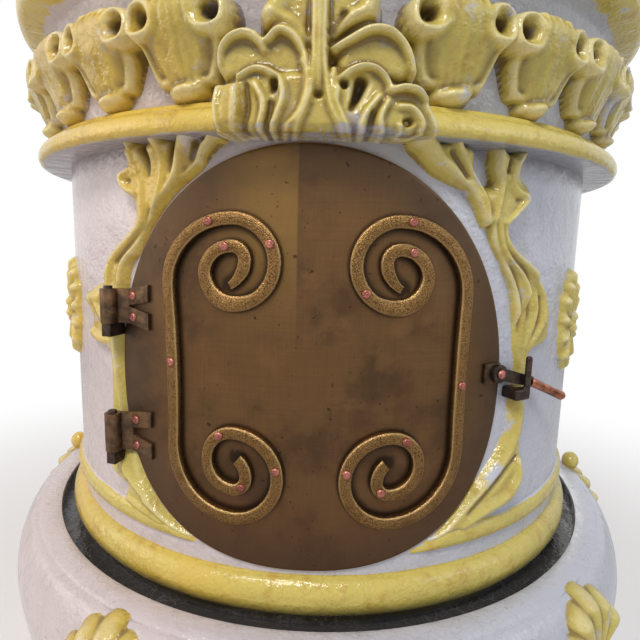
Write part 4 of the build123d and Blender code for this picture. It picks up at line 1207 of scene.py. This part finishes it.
rivet_arc = -0.12475
strap_outside = sheet_outside + 0.0022
heads = bmesh.new()
for middle, apart in ((-0.047, 0.0094167), (0.044, 0.0074167)):
    for side in (-1, 1):
        spot = facing_out(rivet_arc, strap_outside, door_waist + middle + side * apart)
        gathered(heads, small_turning(head_profile, 28), spot)
hinge_rivets = settled(heads, "hinge_rivets_copper", "door", copper, 60)
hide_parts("hinge_rivets")

# ---- Hinges ----
# Each strap is a strip of browned metal rolled round its pin and split into two tongues on the
# door. The pins stand on square tails driven into the wall.


def eased(node, width, crease=30.0, segments=2):
    """A copy of a solid's mesh with its sharp edges rounded off."""
    bm = bmesh.new()
    bm.from_mesh(nodes[node].data)
    bm.transform(nodes[node].matrix_world)
    bmesh.ops.remove_doubles(bm, verts=bm.verts[:], dist=2e-6)
    bmesh.ops.dissolve_limit(bm, angle_limit=radians(1.0), verts=bm.verts[:], edges=bm.edges[:])
    sharp = [e for e in bm.edges if len(e.link_faces) == 2 and e.calc_face_angle(0.0) > radians(crease)]
    bmesh.ops.bevel(
        bm, geom=sharp, offset=width, offset_type="OFFSET", affect="EDGES", segments=segments,
        profile=0.5, material=-1, clamp_overlap=True, harden_normals=False,
    )
    bmesh.ops.recalc_face_normals(bm, faces=bm.faces[:])
    return bm


def forged(name, dark, light, rust_tint):
    """Hammered metal, browned by heat, with a dull shine."""
    material, tree, shader, place = new_finish(name, 0.46, 0.85)
    scale = mottle(tree, place, 170.0, 4.0, 0.6)
    rust = mottle(tree, place, 60.0, 4.0, 0.6)
    tone = tint_mix(tree, ramp(tree, scale, 0.35, 0.7), dark, light)
    tone = stained(tree, tone, rust, 0.5, 0.75, 0.7, rust_tint)
    tree.links.new(tone, shader.inputs["Base Color"])
    rough = arithmetic(tree, "ADD", times(tree, scale, 0.3), 0.32)
    tree.links.new(rough, shader.inputs["Roughness"])
    waves = mottle(tree, place, 130.0, 2.0, 0.5, (0.4, 0.4, 1.4))
    height = arithmetic(tree, "ADD", times(tree, scale, 0.4), times(tree, waves, 0.7))
    bumped(tree, shader, height, 0.0014, 0.5)
    return material


browned = forged("browned_metal", srgb(78, 62, 50), srgb(118, 92, 66), srgb(134, 96, 62))
iron = forged("forged_iron", srgb(52, 43, 39), srgb(82, 68, 58), srgb(74, 48, 36))
for level in ("lower", "upper"):
    tongues = eased("hinge_strap_" + level, 0.0004)
    strap = settled(tongues, "hinge_strap_" + level + "_rolled", "door", browned)
    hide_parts("hinge_strap_" + level)
    pin = eased("hinge_pintle_" + level, 0.0005)
    pintle = settled(pin, "hinge_pintle_" + level + "_forged", "stove", iron)
    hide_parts("hinge_pintle_" + level)

# ---- Latch ----
# A flat lever turns on a copper rivet over a small plate and drops behind a hook in the wall. A
# copper tube is driven over its tang for a grip.
latch_droop = radians(14.5)
lever_plane = facing_out(latch_arc, sheet_outside + 0.0028, latch_height)
lever_plane = lever_plane @ Matrix.Rotation(-latch_droop, 4, "Z")
tang, tang_turn = 0.0312, radians(-8.0)
tang_bend = Matrix.Translation((tang, 0, 0))
drooped = lever_plane @ tang_bend @ Matrix.Rotation(tang_turn, 4, "Z") @ tang_bend.inverted()
bent = eased("latch_lever", 0.0006)
for vertex in bent.verts:
    flat = lever_plane.inverted() @ vertex.co
    if flat.x > tang:
        vertex.co = drooped @ flat
lever = settled(bent, "latch_lever_forged", "latch", iron)
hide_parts("latch_lever")
hook = eased("latch_keeper", 0.0022, segments=4)
keeper = settled(hook, "latch_keeper_forged", "stove", iron)
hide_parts("latch_keeper")
sooted = forged("sooted_brass", srgb(60, 46, 36), srgb(88, 67, 48), srgb(98, 68, 48))
under_lever = eased("latch_plate", 0.0006)
latch_plate = settled(under_lever, "latch_plate_brass", "door", sooted)
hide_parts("latch_plate")

grip_profile = [(2.3, 0.0), (3.1, 0.0), (3.4, 0.35), (3.5, 2.0), (3.35, 4.0), (3.35, 34.0), (3.5, 36.5)]
grip_profile += [(3.45, 38.8), (3.1, 39.7), (2.6, 40.0), (2.3, 39.8)]
grip = small_turning(grip_profile, 40, True)
grip_start, lever_half = 0.033, 0.00175
outwards = Matrix.Translation((grip_start, 0, lever_half)) @ Matrix.Rotation(pi / 2, 4, "Y")
grip.transform(drooped @ outwards)
rubbed, tree, shader, place = new_finish("rubbed_copper", 0.24, 1.0)
handled = mottle(tree, place, 90.0, 3.0, 0.6)
tone = tint_mix(tree, ramp(tree, handled, 0.38, 0.62), srgb(112, 66, 48), srgb(172, 110, 80))
tree.links.new(tone, shader.inputs["Base Color"])
bumped(tree, shader, handled, 0.0010, 0.5)
latch_grip = settled(grip, "latch_grip_copper", "latch", rubbed, 50)
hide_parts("latch_grip")

shank = [(0, 0.0), (2.3, 0.0), (2.48, 0.3), (2.48, 4.0), (2.3, 4.15), (3.0, 4.15), (3.2, 4.3), (3.05, 4.95)]
shank += [(2.5, 5.5), (1.8, 5.85), (1.2, 5.75), (0.8, 5.9), (0, 6.1)]
pivot = small_turning(shank, 32)
pivot.transform(facing_out(latch_arc, sheet_outside + 0.0026, latch_height))
latch_rivet = settled(pivot, "latch_rivet_copper", "door", copper, 50)
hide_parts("latch_rivet")

# ---- Heat shield ----
# Behind the brass hangs an iron sheet on four short posts, blued and sooted by the fire.
scorched, tree, shader, place = new_finish("scorched_iron", 0.6, 0.7)
soot_and_shade = mottle(tree, place, 14.0, 4.0, 0.6)
tone = tint_mix(tree, ramp(tree, soot_and_shade, 0.35, 0.65), srgb(40, 36, 36), srgb(78, 70, 66))
tone = tint_mix(tree, ramp(tree, mottle(tree, place, 70.0, 4.0, 0.6), 0.55, 0.8), tone, srgb(104, 66, 44))
tree.links.new(tone, shader.inputs["Base Color"])
bumped(tree, shader, mottle(tree, place, 90.0, 4.0, 0.6), 0.001, 0.4)
sheet = eased("door_heat_shield", 0.0003)
shield = settled(sheet, "door_heat_shield_iron", "door", scorched)
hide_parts("door_heat_shield")
rods = eased("shield_spacers", 0.0006)
posts = settled(rods, "shield_spacers_iron", "door", iron)
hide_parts("shield_spacers")

# ---- Fire chamber ----
# The hearth, the upright bricks, the crown and the slab above it are rough fireclay, reddened and
# sooted by use.
fireclay, tree, shader, place = new_finish("fireclay", 0.9)
grit = mottle(tree, place, 260.0, 4.0, 0.7)
soot_and_shade = mottle(tree, place, 9.0, 4.0, 0.6)
lump = mottle(tree, place, 60.0, 3.0, 0.6)
tone = tint_mix(tree, ramp(tree, grit, 0.35, 0.7), srgb(150, 122, 92), srgb(184, 156, 122))
tone = tint_mix(tree, ramp(tree, lump, 0.55, 0.8), tone, srgb(160, 104, 74))
tone = tint_mix(tree, ramp(tree, soot_and_shade, 0.42, 0.7), tone, srgb(66, 58, 52))
tree.links.new(tone, shader.inputs["Base Color"])
bumped(tree, shader, arithmetic(tree, "ADD", grit, times(tree, lump, 0.8)), 0.0015, 0.6)
for node in ("hearth_slab", "fireclay_lining", "firebox_crown", "flue_baffle"):
    slab = settled(eased(node, 0.0025), node + "_fired", "stove", fireclay)
    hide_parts(node)

# ---- Upper ring, cornice and cover ----
# The narrower flue ring, its cornice and the cover slab are plain white glazed ware with eased
# edges, and the knob is thrown and painted yellow.
flue_z, flue_hole = 1.002, 0.0603
flue_bore, flue_wall, wall_foot, wall_head = 0.200, 0.2200, 0.7560, 1.0880
outline = [(flue_bore, 0.7525), (0.2180, 0.7522), (0.2196, 0.7534)]
outline += [(flue_wall, wall_foot + (wall_head - wall_foot) * step / 24) for step in range(25)]
outline += [(0.2196, 1.0906), (0.2180, 1.0918), (flue_bore, 1.0918)]
flue_ring = turned(outline, 256)
coloured(flue_ring, "yellow", [0.0] * len(flue_ring.verts))
upper_ring = settled(flue_ring, "upper_ring_glazed", "stove", tin_glaze, None)
hole = []
for step in range(64):
    turn = 2 * pi * step / 64
    hole.append((flue_hole * cos(turn), 0.15, flue_z + flue_hole * sin(turn)))
pierced(upper_ring, hole, (0, 1, 0), 0.12)
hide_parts("upper_ring")

outline = [(flue_bore, 1.0922), (0.2240, 1.0922), (0.2262, 1.0930), (0.2270, 1.0950), (0.2262, 1.0972)]
outline += [(0.2268, 1.1010), (0.2292, 1.1058), (0.2330, 1.1096), (0.2372, 1.1116), (0.2400, 1.1122)]
outline += [(0.2416, 1.1136), (0.2420, 1.1160), (0.2420, 1.1220), (0.2408, 1.1248), (0.2385, 1.1257)]
outline += [(flue_bore, 1.1257)]
cornice = turned(outline, 256)
bead_top = 1.0985
coloured(cornice, "yellow", [v.co.xy.length > 0.2235 and v.co.z < bead_top for v in cornice.verts])
cornice_ring = settled(cornice, "cornice_ring_glazed", "stove", tin_glaze, 45)
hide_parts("cornice_ring")

outline = [(0, 1.1263), (0.2560, 1.1263), (0.2596, 1.1278), (0.2616, 1.1312), (0.2620, 1.1360)]
outline += [(0.2620, 1.1450), (0.2612, 1.1506), (0.2588, 1.1542), (0.2550, 1.1556), (0.2300, 1.1560)]
outline += [(0.1200, 1.1560), (0, 1.1560)]
cover = turned(outline, 256, False)
coloured(cover, "yellow", [0.0] * len(cover.verts))
cover_slab = settled(cover, "cover_slab_glazed", "stove", tin_glaze, 45)
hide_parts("cover_slab")

knob_profile = [(0, 1.1562), (0.0180, 1.1562), (0.0192, 1.1578), (0.0184, 1.1600), (0.0168, 1.1640)]
knob_profile += [(0.0172, 1.1690), (0.0200, 1.1716), (0.0262, 1.1738), (0.0306, 1.1778)]
knob_profile += [(0.0320, 1.1835), (0.0306, 1.1895), (0.0262, 1.1938), (0.0180, 1.1966)]
knob_profile += [(0.0080, 1.1978), (0, 1.1980)]
knob = turned([tuple(row) for row in smooth_path(knob_profile, 3)], 96, False)
coloured(knob, "yellow", [1.0] * len(knob.verts))
cover_knob = settled(knob, "cover_knob_glazed", "stove", tin_glaze, 60)
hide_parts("cover_knob")

# ---- Flue spigot ----
# A sheet iron tube runs through the back of the upper ring, with a flange against the glaze and a
# bead rolled round its mouth.
tube = [(0.0572, -0.1880), (0.0598, -0.1880), (0.0598, -0.2200), (0.0726, -0.2204), (0.0740, -0.2214)]
tube += [(0.0740, -0.2232), (0.0726, -0.2243), (0.0612, -0.2244), (0.0600, -0.2256), (0.0600, -0.2790)]
tube += [(0.0600, -0.2828), (0.0592, -0.2843), (0.0580, -0.2843), (0.0572, -0.2828)]
spigot = turned([(radius, height) for radius, height in tube], 96)
spigot.transform(Matrix.Translation((0, 0, flue_z)) @ Matrix.Rotation(pi / 2, 4, "X"))
flue_collar = settled(spigot, "flue_collar_iron", "stove", iron, 50)
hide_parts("flue_collar")
